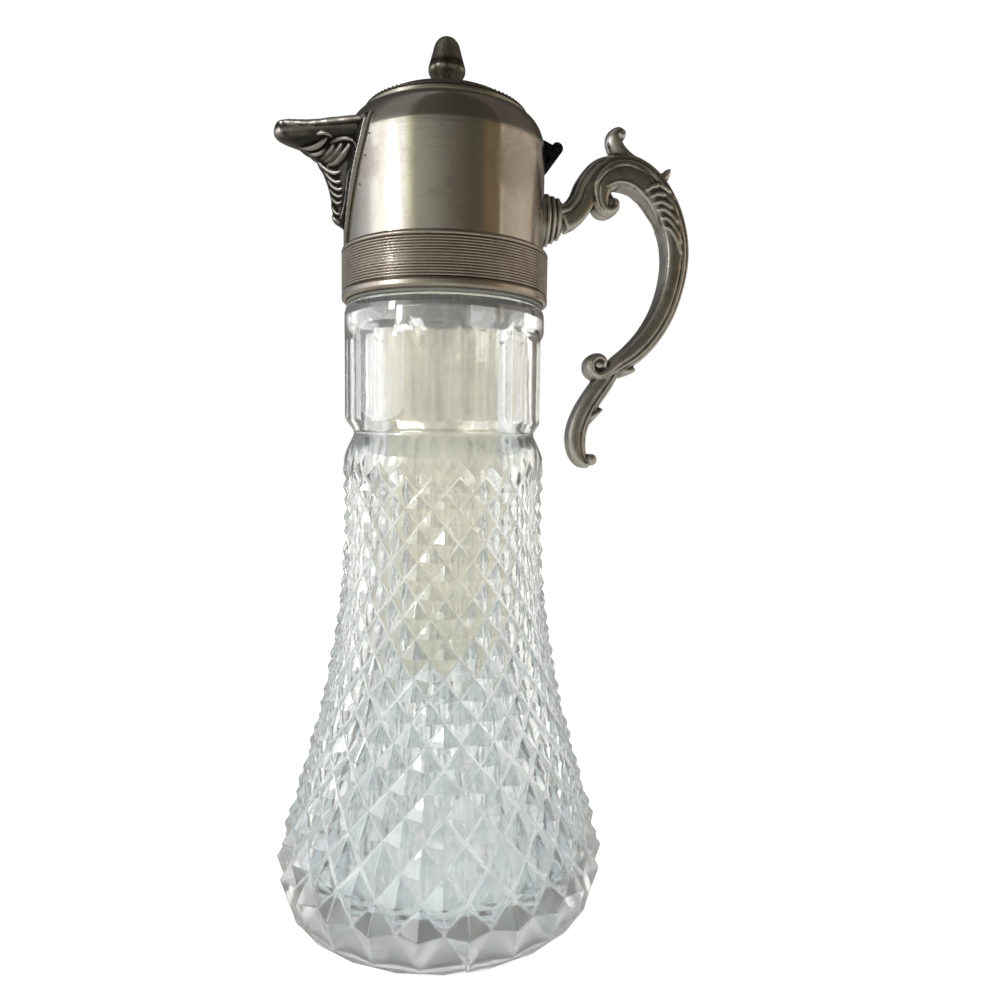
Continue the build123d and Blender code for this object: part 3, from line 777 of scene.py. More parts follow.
@dataclass(frozen=True)
class AntiqueCasting:
    """Cast metal with hollows darkened by painted shade and dirt, and rubbed high spots."""

    name: str = "antique_casting"
    body: Colour = (0.17, 0.162, 0.145)
    worn: Colour = (0.46, 0.44, 0.40)
    # Colour that painted shade and dirt bring the hollows and the bare ground towards.
    hollow: Colour = (0.018, 0.017, 0.014)
    roughness: float = 0.28
    shade_and_soil_strength: float = 1.0

    def material(self) -> Material:
        """Build the material.

        Returns:
            The material.
        """
        net = MaterialTree(self.name, {"Metallic": 1.0})
        tarnish = net.use(tarnish_group(), {"Blotch Scale": 120.0, "Speck Scale": 1200.0})
        wear = net.use(hollow_shade_and_wear_group(), {"Unevenness": 0.5})
        grain = net.use(grain_group(), {"Scale": 900.0, "Stretch": (1.0, 1.0, 1.0)})
        dirt_and_shade, rubbed = wear.outputs["Shade And Dirt"], wear.outputs["Wear"]
        colour = net.mix(tarnish.outputs["Blotches"], self.body, shaded(self.body, 0.72))
        colour = net.mix(rubbed, colour, self.worn)
        # Painted shade with dirt: hollows and bare ground darken to the hollow colour, less where rubbed.
        soil_and_shade = net.math("MULTIPLY_ADD", net.stored("field"), 0.72, dirt_and_shade, clamp=True)
        left = net.math("MULTIPLY_ADD", rubbed, -0.75, soil_and_shade, clamp=True)
        colour = net.mix(net.math("MULTIPLY", left, self.shade_and_soil_strength), colour, self.hollow)
        return net.finish({"Base Color": colour, "Roughness": net.ramp(dirt_and_shade, 0.0, 1.0, self.roughness, 0.65),
                           "Normal": net.bump(grain.outputs["Height"], 0.25, 0.0001)})


@dataclass(frozen=True)
class ClearGlass:
    """Soda glass with a slight tint, a wavy skin, pale grooves with a painted glow and a hazy inner wall."""

    name: str
    tint: Colour
    roughness: float = 0.03
    haze: float = 0.03
    waves: float = 0.1
    groove: Colour = (1.0, 1.0, 1.0)
    clearness: float = 0.94
    sparkle: float = 0.8

    def material(self) -> Material:
        """Build the material.

        Returns:
            The material.
        """
        net = MaterialTree(self.name, {"Metallic": 0.0, "Transmission Weight": self.clearness, "IOR": 1.5,
                                       "Coat Weight": self.sparkle, "Coat IOR": 2.2, "Coat Roughness": 0.03,
                                       "Emission Strength": 1.0})
        ripple = net.use(grain_group(), {"Scale": 110.0, "Stretch": (1.0, 1.0, 0.8)}).outputs["Height"]
        fine = net.use(grain_group(), {"Scale": 420.0, "Stretch": (1.0, 1.0, 1.0)}).outputs["Height"]
        height = net.math("MULTIPLY_ADD", fine, 0.35, ripple)
        colour = net.mix(net.ramp(ripple, 0.35, 0.65), self.tint, shaded(self.tint, 0.93))
        line = net.ramp(net.stored("groove"), 0.85, 0.965)
        colour = net.mix(line, colour, self.groove)
        rough = net.math("MULTIPLY_ADD", net.stored("bore"), self.haze, self.roughness)
        # Painted highlight: the grooves glow faintly, stronger in patches.
        painted_groove_glow = net.ramp(ripple, 0.40, 0.62, 0.02, 0.16)
        return net.finish({"Base Color": colour, "Roughness": net.math("MULTIPLY_ADD", line, 0.30, rough),
                           "Emission Color": net.math("MULTIPLY", line, painted_groove_glow),
                           "Normal": net.bump(height, self.waves, 0.0006)})


@dataclass(frozen=True)
class SoftPlastic:
    """Translucent soft plastic of the gasket and the cushion."""

    name: str = "soft_plastic"
    colour: Colour = (0.72, 0.73, 0.66)

    def material(self) -> Material:
        """Build the material.

        Returns:
            The material.
        """
        net = MaterialTree(self.name, {"Metallic": 0.0, "Transmission Weight": 0.75, "IOR": 1.45,
                                       "Roughness": 0.3})
        height = net.use(grain_group(), {"Scale": 500.0, "Stretch": (1.0, 1.0, 1.0)}).outputs["Height"]
        return net.finish({"Base Color": net.mix(height, self.colour, shaded(self.colour, 1.0, 0.97, 0.85)),
                           "Normal": net.bump(height, 0.1, 0.0002)})


@dataclass(frozen=True)
class DarkMetal:
    """Blackened or plain turned metal of the hinge and the fasteners."""

    name: str
    colour: Colour
    roughness: float

    def material(self) -> Material:
        """Build the material.

        Returns:
            The material.
        """
        net = MaterialTree(self.name, {"Metallic": 1.0})
        tarnish = net.use(tarnish_group(), {"Blotch Scale": 260.0, "Speck Scale": 1500.0})
        grain = net.use(grain_group(), {"Scale": 1100.0, "Stretch": (1.0, 1.0, 1.0)})
        return net.finish({"Base Color": net.mix(tarnish.outputs["Blotches"], self.colour,
                                                 shaded(self.colour, 0.55)),
                           "Roughness": net.ramp(tarnish.outputs["Specks"], 0.0, 1.0, self.roughness,
                                                 self.roughness + 0.2),
                           "Normal": net.bump(grain.outputs["Height"], 0.2, 0.0001)})


class Finishes:
    """Every material of the jug, built once."""

    def __init__(self) -> None:
        """Build the materials."""
        self.sheet = PlatedSheet().material()
        self.collar = PlatedSheet(name="plated_collar", bright=(0.62, 0.57, 0.50),
                                  tarnished=(0.47, 0.37, 0.31),
                                  dirt_and_shade=(0.08, 0.06, 0.045), roughness=0.24, blotch_scale=80.0).material()
        self.dome = PlatedSheet(name="dulled_sheet", bright=(0.36, 0.345, 0.29), tarnished=(0.30, 0.27, 0.22),
                                dirt_and_shade=(0.10, 0.085, 0.06), roughness=0.27, blotch_scale=60.0,
                                spinning=0.5).material()
        self.casting = AntiqueCasting().material()
        self.scroll = AntiqueCasting(name="antique_scroll", body=(0.54, 0.52, 0.475), worn=(0.88, 0.86, 0.80),
                                     hollow=(0.05, 0.047, 0.04), shade_and_soil_strength=0.80).material()
        self.beading = AntiqueCasting(name="antique_beading", body=(0.26, 0.25, 0.215),
                                      worn=(0.40, 0.38, 0.33),
                                      hollow=(0.02, 0.018, 0.012), roughness=0.30).material()
        self.bud = AntiqueCasting(name="antique_bud", body=(0.52, 0.49, 0.39), worn=(0.60, 0.56, 0.46),
                                  hollow=(0.03, 0.027, 0.018), roughness=0.26).material()
        self.bottle = ClearGlass(name="pressed_glass", tint=(0.972, 0.985, 0.975), roughness=0.012, haze=0.22,
                                 waves=0.22).material()
        self.tube = ClearGlass(name="tube_glass", tint=(0.985, 0.95, 0.83), roughness=0.02, haze=0.05,
                               waves=0.3,
                               sparkle=0.2).material()
        self.plastic = SoftPlastic().material()
        self.hinge = DarkMetal(name="blackened_hinge", colour=(0.03, 0.03, 0.036), roughness=0.34).material()
        self.fastener = DarkMetal(name="turned_steel", colour=(0.40, 0.39, 0.36), roughness=0.35).material()


def place(obj: Object, body: Body, material: Material, slot: Slot, *nodes: str) -> Object:
    """Dress a finished piece and hang it on its body.

    Args:
        obj: The piece, a plain mesh at the origin.
        body: The body it moves with.
        material: Its material.
        slot: The record's slot; not used.
        nodes: The CAD nodes that it stands for.

    Returns:
        The piece.
    """
    obj.data.materials.clear()
    obj.data.materials.append(material)
    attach(obj, body.value)
    if nodes:
        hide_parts(*nodes)
    log.info("%s rides on %s, %d faces", obj.name, body.value, len(obj.data.polygons))
    return obj


# ---------------------------------------------------------------- castings


def section_points(reeds: bool) -> list:
    """Half outline of a handle limb, from the middle of its inner face to the middle of its outer face.

    Args:
        reeds: Whether grooves run along its outer half.

    Returns:
        (across, out) points: across from 0 to 0.5 of the width, out from -0.5 to 0.5 of the thickness.
    """
    if reeds:
        return [(0.0, -0.5), (0.2, -0.5), (0.36, -0.49), (0.44, -0.44), (0.485, -0.3), (0.5, -0.12),
                (0.49, 0.02), (0.43, 0.08), (0.46, 0.14), (0.485, 0.19), (0.46, 0.25), (0.37, 0.28),
                (0.39, 0.34), (0.38, 0.40), (0.31, 0.43), (0.23, 0.41), (0.2, 0.47), (0.1, 0.5), (0.0, 0.5)]
    return [(0.0, -0.5), (0.18, -0.48), (0.33, -0.38), (0.45, -0.2), (0.5, 0.0), (0.45, 0.2), (0.33, 0.38),
            (0.18, 0.48), (0.0, 0.5)]


def limb(line: Sequence[Sequence[float]], width: float, reeds: bool, per_span: int = 8,
         narrow: Sequence[float] = (1.0, 1.0)) -> tuple[list, list]:
    """Sweep a limb of the handle along a line in its plane.

    Args:
        line: (x, z, thickness) points in millimetres.
        width: Width across, in millimetres.
        reeds: Whether its outer half is reeded.
        per_span: Samples between points.
        narrow: Share of the width at the line's two ends.

    Returns:
        Points and faces of a closed shape.
    """
    run = smooth_line(line, per_span)
    half = section_points(reeds)
    outline = [(a, o) for a, o in half] + [(-a, o) for a, o in reversed(half[1:-1])]
    slope = np.gradient(run[:, :2], axis=0)
    slope /= np.linalg.norm(slope, axis=1)[:, None]
    share = np.linspace(0, 1, len(run))
    ends = np.minimum(1, np.minimum(narrow[0] + share * 6, narrow[1] + (1 - share) * 6))
    verts = [(x - tz * out * thick, across * width * keep, z + tx * out * thick)
             for (x, z, thick), (tx, tz), keep in zip(run, slope, ends) for across, out in outline]
    return verts, tube_faces(len(run), len(outline))


def button(x: float, z: float, radius: float, half_width: float, dome: float) -> tuple[list, list]:
    """A domed disc across the handle, at the eye of a scroll.

    Args:
        x: Its middle, towards the handle.
        z: Height of its middle.
        radius: Its radius.
        half_width: Half its width across the handle, without the domes.
        dome: How far each dome stands out.

    Returns:
        Points and faces in millimetres.
    """
    rings = [(0.0, -half_width - dome), (radius * 0.55, -half_width - dome * 0.75),
             (radius * 0.9, -half_width - dome * 0.25), (radius, -half_width + 0.3),
             (radius, half_width - 0.3), (radius * 0.9, half_width + dome * 0.25),
             (radius * 0.55, half_width + dome * 0.75), (0.0, half_width + dome)]
    verts, faces = revolve(rings, 32)
    return [(x + vx, vz, z - vy) for vx, vy, vz in verts], faces


def vein(points: Sequence[Vector], radii: Sequence[float], squash: float = 1.0) -> tuple[list, list]:
    """A tapered rounded ridge along points in space, closed at both ends.

    Args:
        points: The ridge's line in millimetres.
        radii: Radius at each point.
        squash: Height across Y as a share of the radius.

    Returns:
        Points and faces.
    """
    verts: list = []
    count = 10
    for k, (point, radius) in enumerate(zip(points, radii)):
        ahead = points[min(k + 1, len(points) - 1)] - points[max(k - 1, 0)]
        along = Vector((ahead.x, 0, ahead.z)).normalized()
        side = Vector((-along.z, 0, along.x))
        for s in range(count):
            turn = 2 * math.pi * s / count
            verts.append(point + side * math.cos(turn) * radius
                         + Vector((0, math.sin(turn) * radius * squash, 0)))
    return [tuple(v) for v in verts], tube_faces(len(points), count)


@dataclass
class Engraver:
    """Lays ornament on both flanks of a casting.

    Its lines are drawn on the middle plane, and are carried to a flank along the line of sight of somebody
    who stands square to that side.
    """

    base: Object
    eye: tuple = (-41.0, -275.0, 168.0)
    tree: BVHTree = field(init=False)

    def __post_init__(self) -> None:
        """Make the search tree of the casting."""
        work = bmesh.new()
        work.from_mesh(self.base.data)
        self.tree = BVHTree.FromBMesh(work)
        work.free()

    def reach(self, x: float, z: float, side: int) -> Vector | None:
        """Carry a drawn point to a flank.

        Args:
            x: The point's x in millimetres.
            z: Its height in millimetres.
            side: The flank: -1 towards -Y, 1 towards +Y.

        Returns:
            Its place in millimetres, or None where it misses.
        """
        start = Vector((self.eye[0], side * abs(self.eye[1]), self.eye[2])) * MM
        hit = self.tree.ray_cast(start, (Vector((x * MM, 0, z * MM)) - start).normalized())[0]
        return hit / MM if hit else None

    def mark_field(self, obj: Object, rise: float) -> None:
        """Store how bare of ornament each point is, from 1 on the ground, darkened as painted shade, to 0 on
        the ornament.

        Args:
            obj: The casting with its ornament.
            rise: Height of ornament in millimetres that counts as fully raised.
        """
        values = []
        for vert in obj.data.vertices:
            near, normal, _, _ = self.tree.find_nearest(vert.co)
            values.append(min(1.0, max(0.0, 1 - (vert.co - near).dot(normal) / (rise * MM))))
        store(obj.data, "field", values)

    def veins(self, lines: Sequence[Sequence[Sequence[float]]], squash: float, sink: float = 0.35) -> list:
        """Lay rounded ridges.

        Args:
            lines: Lines of (x, z, radius) points.
            squash: Height of a ridge as a share of its radius.
            sink: How far its centre lies under the flank, as a share of its radius.

        Returns:
            (points, faces) of each ridge, two for each line.
        """
        shapes = []
        for line in lines:
            for side in (-1, 1):
                points, radii = [], []
                for x, z, radius in smooth_line(line, 5):
                    hit = self.reach(x, z, side)
                    if hit:
                        points.append(hit - Vector((0, side * radius * squash * sink, 0)))
                        radii.append(radius)
                if len(points) > 2:
                    shapes.append(vein(points, radii, squash))
        return shapes


def cast(name: str, shapes: Sequence[tuple[list, list]], solids: Sequence[Object], voxel: float,
         soften: int) -> Object:
    """Fuse overlapping closed shapes into one casting.

    Args:
        name: Name of the casting.
        shapes: (points, faces) of each shape in millimetres.
        solids: Mesh objects to fuse too; they are used up.
        voxel: Size of the fusing grid in millimetres.
        soften: Smoothing passes.

    Returns:
        The casting as a plain mesh.
    """
    parts = [make_object(f"{name}_{k}", verts, faces) for k, (verts, faces) in enumerate(shapes)]
    for part in parts:
        clean(part.data, 0)
    obj = join(name, [*parts, *solids])
    fuse = obj.modifiers.new("fuse", "REMESH")
    fuse.mode = "VOXEL"
    fuse.voxel_size = voxel * MM
    fuse.use_smooth_shade = True
    smooth = obj.modifiers.new("soften", "SMOOTH")
    smooth.factor = 0.5
    smooth.iterations = soften
    settle(obj)
    shade(obj.data, 180)
    return obj


# ---------------------------------------------------------------- sub-assemblies


@dataclass
class Bottle:
    """The pressed-glass bottle: plain heel, cut diamonds, groove, flat panels and plain neck."""

    finish: Material
    diamonds: int = 24
    first_angle: float = -90.0
    depth_share: float = 0.06
    panels: int = 12
    panel_radius: float = 35.8
    panel_low: float = 174.6
    panel_top: float = 204.0
    wall: float = 8.0
    round_points: int = 192
    pressed_edge: float = 0.42
    rows: Profile = ((53.6, 0.1), (57.8, 2.2), (61.0, 14.6), (59.2, 23.4), (56.5, 31.9), (53.9, 40.4),
                     (51.5, 47.9), (49.7, 55.3), (47.6, 62.3), (45.7, 69.2), (44.1, 76.1), (42.9, 83.0),
                     (41.6, 89.6), (40.4, 96.3), (39.3, 102.7), (38.6, 109.2), (37.8, 115.4), (37.4, 121.6),
                     (37.1, 127.5), (36.7, 133.5), (36.6, 139.2), (36.6, 145.0), (36.8, 150.1), (36.8, 155.2),
                     (36.1, 160.5))

    def panel_shift(self, turn: float, height: float) -> float:
        """How far the flat panels lie inside the round neck.

        Args:
            turn: Angle round the neck in radians.
            height: Height in millimetres.

        Returns:
            Change of radius in millimetres.
        """
        blend = min(max((height - self.panel_low + 1.6) / 1.6, 0), 1)
        blend *= min(max((self.panel_top + 1.2 - height) / 1.4, 0), 1)
        if blend == 0 or height > self.panel_top + 2:
            return 0.0
        step = 2 * math.pi / self.panels
        apothem = self.panel_radius * math.cos(step / 2)
        flat = apothem / math.cos(turn % step - step / 2)
        return blend * (flat - self.panel_radius)

    def plain_parts(self) -> Object:
        """Mesh of everything but the cut band, open at the band's two edges.

        Returns:
            The object.
        """
        coarse, fine = 2 * self.diamonds, self.round_points
        low = [(0, 1.2, 1), (44.0, 1.0, fine), (48.0, 0.6, fine), (49.6, 0.0, fine), (52.4, 0.0, fine),
               (*self.rows[0], coarse)]
        neck = [(35.5, 162.6), (34.4, 165.2), (33.2, 167.6), (32.6, 168.8), (32.6, 170.0), (33.4, 171.3),
                (34.9, 173.2), (35.6, 174.2), (35.8, 175.2), (35.8, 180.0), (35.8, 190.0), (35.8, 200.0),
                (35.8, 203.6), (35.8, 204.6), (35.8, 205.6), (35.8, 209.0), (35.75, 211.6), (35.2, 213.4),
                (34.2, 214.3), (33.3, 214.5), (31.0, 214.5), (31.0, 230.2), (30.4, 231.0), (28.0, 231.0),
                (27.5, 230.4), (27.5, 214.5), (28.6, 210.5), (28.6, 200.0), (28.6, 170.0), (28.6, 135.0)]
        inner = [(radius - self.wall, height) for radius, height in reversed(self.rows[5:20])]
        inner += [(47.6, 32.0), (50.0, 24.0), (50.6, 19.0), (49.2, 15.2), (46.0, 13.0), (25.0, 13.0)]
        high = [(*self.rows[-1], coarse), *((r, z, fine) for r, z in [*neck, *inner]), (0, 13.0, 1)]
        verts: list = []
        faces: list = []
        for part in (low, high):
            rings = []
            for radius, height, count in part:
                ring = []
                for k in range(count):
                    turn = math.radians(self.first_angle) + 2 * math.pi * k / count
                    reach = radius + (self.panel_shift(turn, height) if part is high and radius > 33 else 0)
                    ring.append(len(verts))
                    verts.append((reach * math.cos(turn), reach * math.sin(turn), height))
                rings.append(ring)
            for below, above in zip(rings, rings[1:]):
                faces.extend(bridge(below, above))
        return make_object("bottle_glass", verts, faces)

    def mark_walls(self, glass: Object) -> None:
        """Store how hazy the inner wall and the stippled foot are, and which points lie in a groove.

        Args:
            glass: The bottle.
        """
        place, normal = places_and_normals(glass.data)
        at = place / MM
        reach = np.hypot(at[:, 0], at[:, 1])
        outward = (at[:, :2] * normal[:, :2]).sum(1) / np.maximum(reach, 1)
        inner = (outward < -0.2) | ((reach < 52) & (at[:, 2] > 10) & (at[:, 2] < 40) & (outward < 0.2))
        skin = np.interp(at[:, 2], [z for _, z in self.rows], [r for r, _ in self.rows])
        sunk = np.clip((skin - reach) / (skin * self.depth_share), 0, 1)
        band = (at[:, 2] > self.rows[0][1] + 1) & (at[:, 2] < self.rows[-1][1] - 1) & ~inner
        foot = (normal[:, 2] < -0.7) & (at[:, 2] < 2)
        store(glass.data, "bore", np.where(foot, 1.0, 0.2 * inner))
        store(glass.data, "groove", sunk * band)

    def build(self) -> None:
        """Build and dress the bottle."""
        line = bpy.data.meshes.new("bottle_rows")
        line.from_pydata([(r * MM, 0, z * MM) for r, z in self.rows],
                         [(k, k + 1) for k in range(len(self.rows) - 1)], [])
        rows = add_object("bottle_rows", line)
        glass = diamond_tree().apply(self.plain_parts(), {
            "Rows": rows, "Row Count": len(self.rows), "Columns": 2 * self.diamonds,
            "First Angle": math.radians(self.first_angle), "Depth Share": self.depth_share,
            "Material": self.finish})
        bpy.data.objects.remove(rows)
        soft = glass.modifiers.new("pressed_edges", "BEVEL")
        soft.width = self.pressed_edge * MM
        soft.segments = 2
        soft.limit_method = "ANGLE"
        soft.angle_limit = math.radians(14)
        settle(glass)
        shade(glass.data, 13)
        self.mark_walls(glass)
        place(glass, Body.BOTTLE, self.finish, Slot.PRESSED_GLASS, "glass_bottle")


@dataclass
class PouringMount:
    """The spun shell, its reeded collar, the seat, the gasket and the ice tube."""

    finishes: Finishes
    radius: float = 35.1
    sheet: float = 0.9
    skirt_edge: float = 215.5
    shoulder_start: float = 267.7
    rim_height: float = 278.2
    rim_radius: float = 29.3
    rim_opening: float = 25.8
    window_half: float = 7.5
    window_foot: float = 245.1
    collar_radius: float = 36.75
    collar_top: float = 233.5
    rib_count: int = 14
    rib_pitch: float = 0.9
    tube_bottom: float = 78.0
    tube_flange: float = 274.8

    def shell(self) -> None:
        """The spun shell with its window behind the spout."""
        outside = [(self.radius, self.skirt_edge)]
        outside += [(self.radius, z) for z in np.linspace(self.skirt_edge + 1, self.shoulder_start, 50)]
        for k in range(1, 19):
            turn = math.pi / 2 * k / 18
            outside.append((self.rim_radius + 5.8 * math.cos(turn),
                            self.shoulder_start + 10.5 * math.sin(turn)))
        outside += [(28.0, self.rim_height), (26.6, self.rim_height), (self.rim_opening, self.rim_height)]
        verts, faces = revolve(outside, 256)
        middle = self.window_foot + self.window_half

        def in_window(face: Sequence[int]) -> bool:
            """Whether a face lies in the window.

            Args:
                face: Its point numbers.

            Returns:
                True if it does.
            """
            x, y, z = np.mean([verts[i] for i in face], axis=0)
            if x > 0 or z > self.shoulder_start:
                return False
            return (abs(y) < self.window_half and z > middle) or math.hypot(y, z - middle) < self.window_half
        shell = make_object("mount_skin", verts, [f for f in faces if not in_window(f)], 40)
        wall = shell.modifiers.new("gauge", "SOLIDIFY")
        wall.thickness = self.sheet * MM
        wall.offset = -1
        settle(shell)
        shade(shell.data, 40)
        mark_relief(shell, 2, 1.0)
        place(shell, Body.MOUNT, self.finishes.sheet, Slot.PLATED_SHEET, "mount_shell")

    def collar(self) -> None:
        """The band with its top bead, ribs, plain strip and rolled lip."""
        r, top, foot = self.collar_radius, self.collar_top, self.skirt_edge
        outline = [(35.2, top), (35.2, foot + 0.6), (35.4, foot + 0.1), (35.8, foot), (36.2, foot + 0.1),
                   (r - 0.1, foot + 0.5), (r, foot + 1.1), (r, foot + 2.2), (r - 0.12, foot + 2.9),
                   (r - 0.42, foot + 3.1), (r - 0.45, foot + 9), (r - 0.45, top - 2.2), (r - 0.3, top - 1.9),
                   (r - 0.02, top - 1.5), (r, top - 1.0), (r - 0.2, top - 0.45), (r - 0.7, top - 0.1),
                   (r - 1.2, top)]
        band = turned_ring("collar_band", outline, 192, 50)
        rib = self.rib_pitch * 0.47
        rib_tree().apply(band, {"Count": self.rib_count, "Ring Radius": (r - 0.02 - rib) * MM,
                                "First Height": (foot + 3.4 + rib) * MM, "Pitch": self.rib_pitch * MM,
                                "Rib Radius": rib * MM, "Material": self.finishes.collar})
        shade(band.data, 50)
        mark_relief(band, 2, 0.25)
        place(band, Body.MOUNT, self.finishes.collar, Slot.PLATED_SHEET, "reeded_collar")

    def gasket(self) -> None:
        """The soft sleeve that shows as a pale line under the collar."""
        outline = rounded([(31.3, 230.0), (31.3, 214.5), (35.0, 214.5), (35.0, 215.5), (34.15, 215.5),
                           (34.15, 230.0), (31.3, 230.0), (31.3, 222.0)], 0.25, 2)
        verts, faces = revolve(outline[:-1], 128)
        sleeve = make_object("neck_sleeve", verts, faces, 45)
        clean(sleeve.data, fill=True)
        place(sleeve, Body.MOUNT, self.finishes.plastic, Slot.CLEAR_PLASTIC, "neck_gasket")

    def ice_tube(self) -> None:
        """The blown tube with its flange and round end."""
        foot = self.tube_bottom
        outside = [(0, foot), (6, foot + 0.5), (11, foot + 2.0), (15.4, foot + 5.0), (18.6, foot + 8.8),
                   (20.5, foot + 12.8), (21.4, foot + 17.5)]
        flange = self.tube_flange
        outside += [(21.4 + 1.4 * t, foot + 17.5 + (flange - foot - 17.5) * t)
                    for t in np.linspace(0.1, 1, 10)]
        outside += [(25.0, flange), (25.2, flange + 0.2), (25.2, flange + 2.0), (25.0, flange + 2.2),
                    (21.0, flange + 2.2), (20.8, flange + 1.8)]
        inside = [(20.8 - 1.4 * t, 276.0 - (276.0 - foot - 18) * t) for t in np.linspace(0.05, 1, 10)]
        inside += [(18.5, foot + 13.6), (16.8, foot + 10.0), (14.0, foot + 6.6), (10, foot + 3.9),
                   (5.4, foot + 2.5),
                   (0, foot + 2.0)]
        verts, faces = revolve([*outside, *inside], 128)
        tube = make_object("ice_tube_glass", verts, faces, 35)
        place(tube, Body.MOUNT, self.finishes.tube, Slot.TUBE_GLASS, "ice_tube")

    def build(self) -> None:
        """Build and dress the mount's plain pieces."""
        self.shell()
        self.collar()
        self.gasket()
        self.ice_tube()
        for node, material in (("tube_seat", self.finishes.sheet), ("tube_cushion", self.finishes.plastic),
                               ("handle_screw", self.finishes.fastener),
                               ("handle_washer", self.finishes.fastener)):
            dress_node(node, material)


def dress_node(node: str, material: Material) -> None:
    """Give a CAD node that keeps its shape a better material.

    Args:
        node: The node.
        material: The material.
    """
    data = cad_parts[node].data
    data.materials.clear()
    data.materials.append(material)
    log.info("%s keeps its CAD shape", node)


@dataclass
class Spout:
    """The cast beak with its leafwork."""

    finish: Material
    voxel: float = 0.30
    square_eye: tuple = (-40.0, -1.0e6, 250.0)
    rims: Sequence[Sequence[Sequence[float]]] = (
        ((-57.4, 272.7, 0.6), (-54.0, 272.6, 0.9), (-47.0, 271.5, 1.0), (-38.0, 271.3, 1.1),
         (-29.6, 271.2, 1.1)),
        ((-28.9, 270.8, 1.0), (-30.3, 265.0, 1.0), (-32.1, 258.0, 1.0), (-33.7, 250.0, 0.9),
         (-34.9, 242.0, 0.7), (-35.6, 235.0, 0.5)))
    thread: Sequence[Sequence[Sequence[float]]] = (
        ((-31.6, 262.0, 0.5), (-33.8, 260.0, 0.55), (-34.6, 256.5, 0.5), (-35.4, 249.3, 0.5),
         (-36.9, 243.4, 0.4)),)
    lobes: Sequence[Sequence[Sequence[float]]] = (
        ((-50.5, 266.2, 0.39), (-47.6, 266.5, 0.98), (-44.9, 267.6, 1.3), (-42.6, 269.3, 1.04),
         (-41.4, 270.5, 0.39)),
        ((-44.8, 271.4, 0.39), (-42.6, 272.0, 0.65), (-40.6, 271.6, 0.59), (-39.6, 270.6, 0.26)),
        ((-47.6, 264.6, 0.39), (-45.6, 264.6, 0.78), (-43.6, 265.3, 0.85), (-42.0, 266.6, 0.39)),
        ((-43.6, 263.0, 0.39), (-41.6, 264.7, 0.98), (-39.8, 266.5, 1.1), (-39.0, 268.0, 0.52)),
        ((-42.6, 262.2, 0.39), (-40.0, 263.8, 1.04), (-37.6, 266.2, 1.23), (-36.4, 268.6, 0.65)),
        ((-41.8, 261.0, 0.39), (-38.6, 262.5, 1.1), (-35.8, 265.2, 1.3), (-33.8, 268.6, 0.65)),
        ((-40.2, 269.0, 0.39), (-37.9, 270.3, 0.65), (-35.0, 271.0, 0.72), (-32.2, 270.2, 0.59),
         (-31.2, 267.6, 0.39)),
        ((-44.5, 261.9, 0.39), (-41.6, 260.1, 0.98), (-39.0, 259.2, 1.1), (-37.4, 259.4, 0.52)),
        ((-42.4, 259.0, 0.39), (-40.2, 257.2, 0.91), (-38.4, 256.2, 0.98), (-37.0, 256.2, 0.45)),
        ((-41.2, 256.2, 0.39), (-39.4, 254.5, 0.85), (-37.8, 253.7, 0.85), (-36.6, 253.8, 0.39)),
        ((-40.6, 253.4, 0.39), (-39.0, 252.0, 0.78), (-37.6, 251.3, 0.78), (-36.6, 251.4, 0.39)),
        ((-40.2, 250.8, 0.39), (-38.9, 249.6, 0.72), (-37.8, 249.0, 0.72), (-36.9, 249.2, 0.39)),
        ((-40.0, 248.2, 0.39), (-39.1, 246.6, 0.72), (-38.3, 245.4, 0.65), (-37.4, 245.2, 0.33)),
        ((-40.0, 245.6, 0.52), (-39.2, 244.0, 0.78), (-38.2, 242.9, 0.72), (-37.3, 242.3, 0.39)))

    def build(self) -> None:
        """Build and dress the spout."""
        base = merged_copy("spout", "spout_base")
        square, near = Engraver(base, self.square_eye), Engraver(base)
        shapes = square.veins(self.rims, 0.5, 0.2) + near.veins([*self.thread, *self.lobes], 0.85, 0.15)
        for side in (-1, 1):
            for height, turn in ((265.4, 36.5), (259.0, 33.0), (250.5, 28.0)):
                angle = math.radians(180 + side * turn)
                x, y = 35.3 * math.cos(angle), 35.3 * math.sin(angle)
                verts, faces = revolve([(0, -0.45), (0.32, -0.32), (0.45, 0), (0.32, 0.32), (0, 0.45)], 8)
                shapes.append(([(vx + x, vy + y, vz + height) for vx, vy, vz in verts], faces))
        spout = cast("spout_casting", shapes, [base], self.voxel, 3)
        mark_relief(spout, 14, 0.28)
        # The bare ground between the leaves gets painted shade from this value.
        near.mark_field(spout, 0.3)
        place(spout, Body.MOUNT, self.finish, Slot.PLATED_CASTING, "spout")


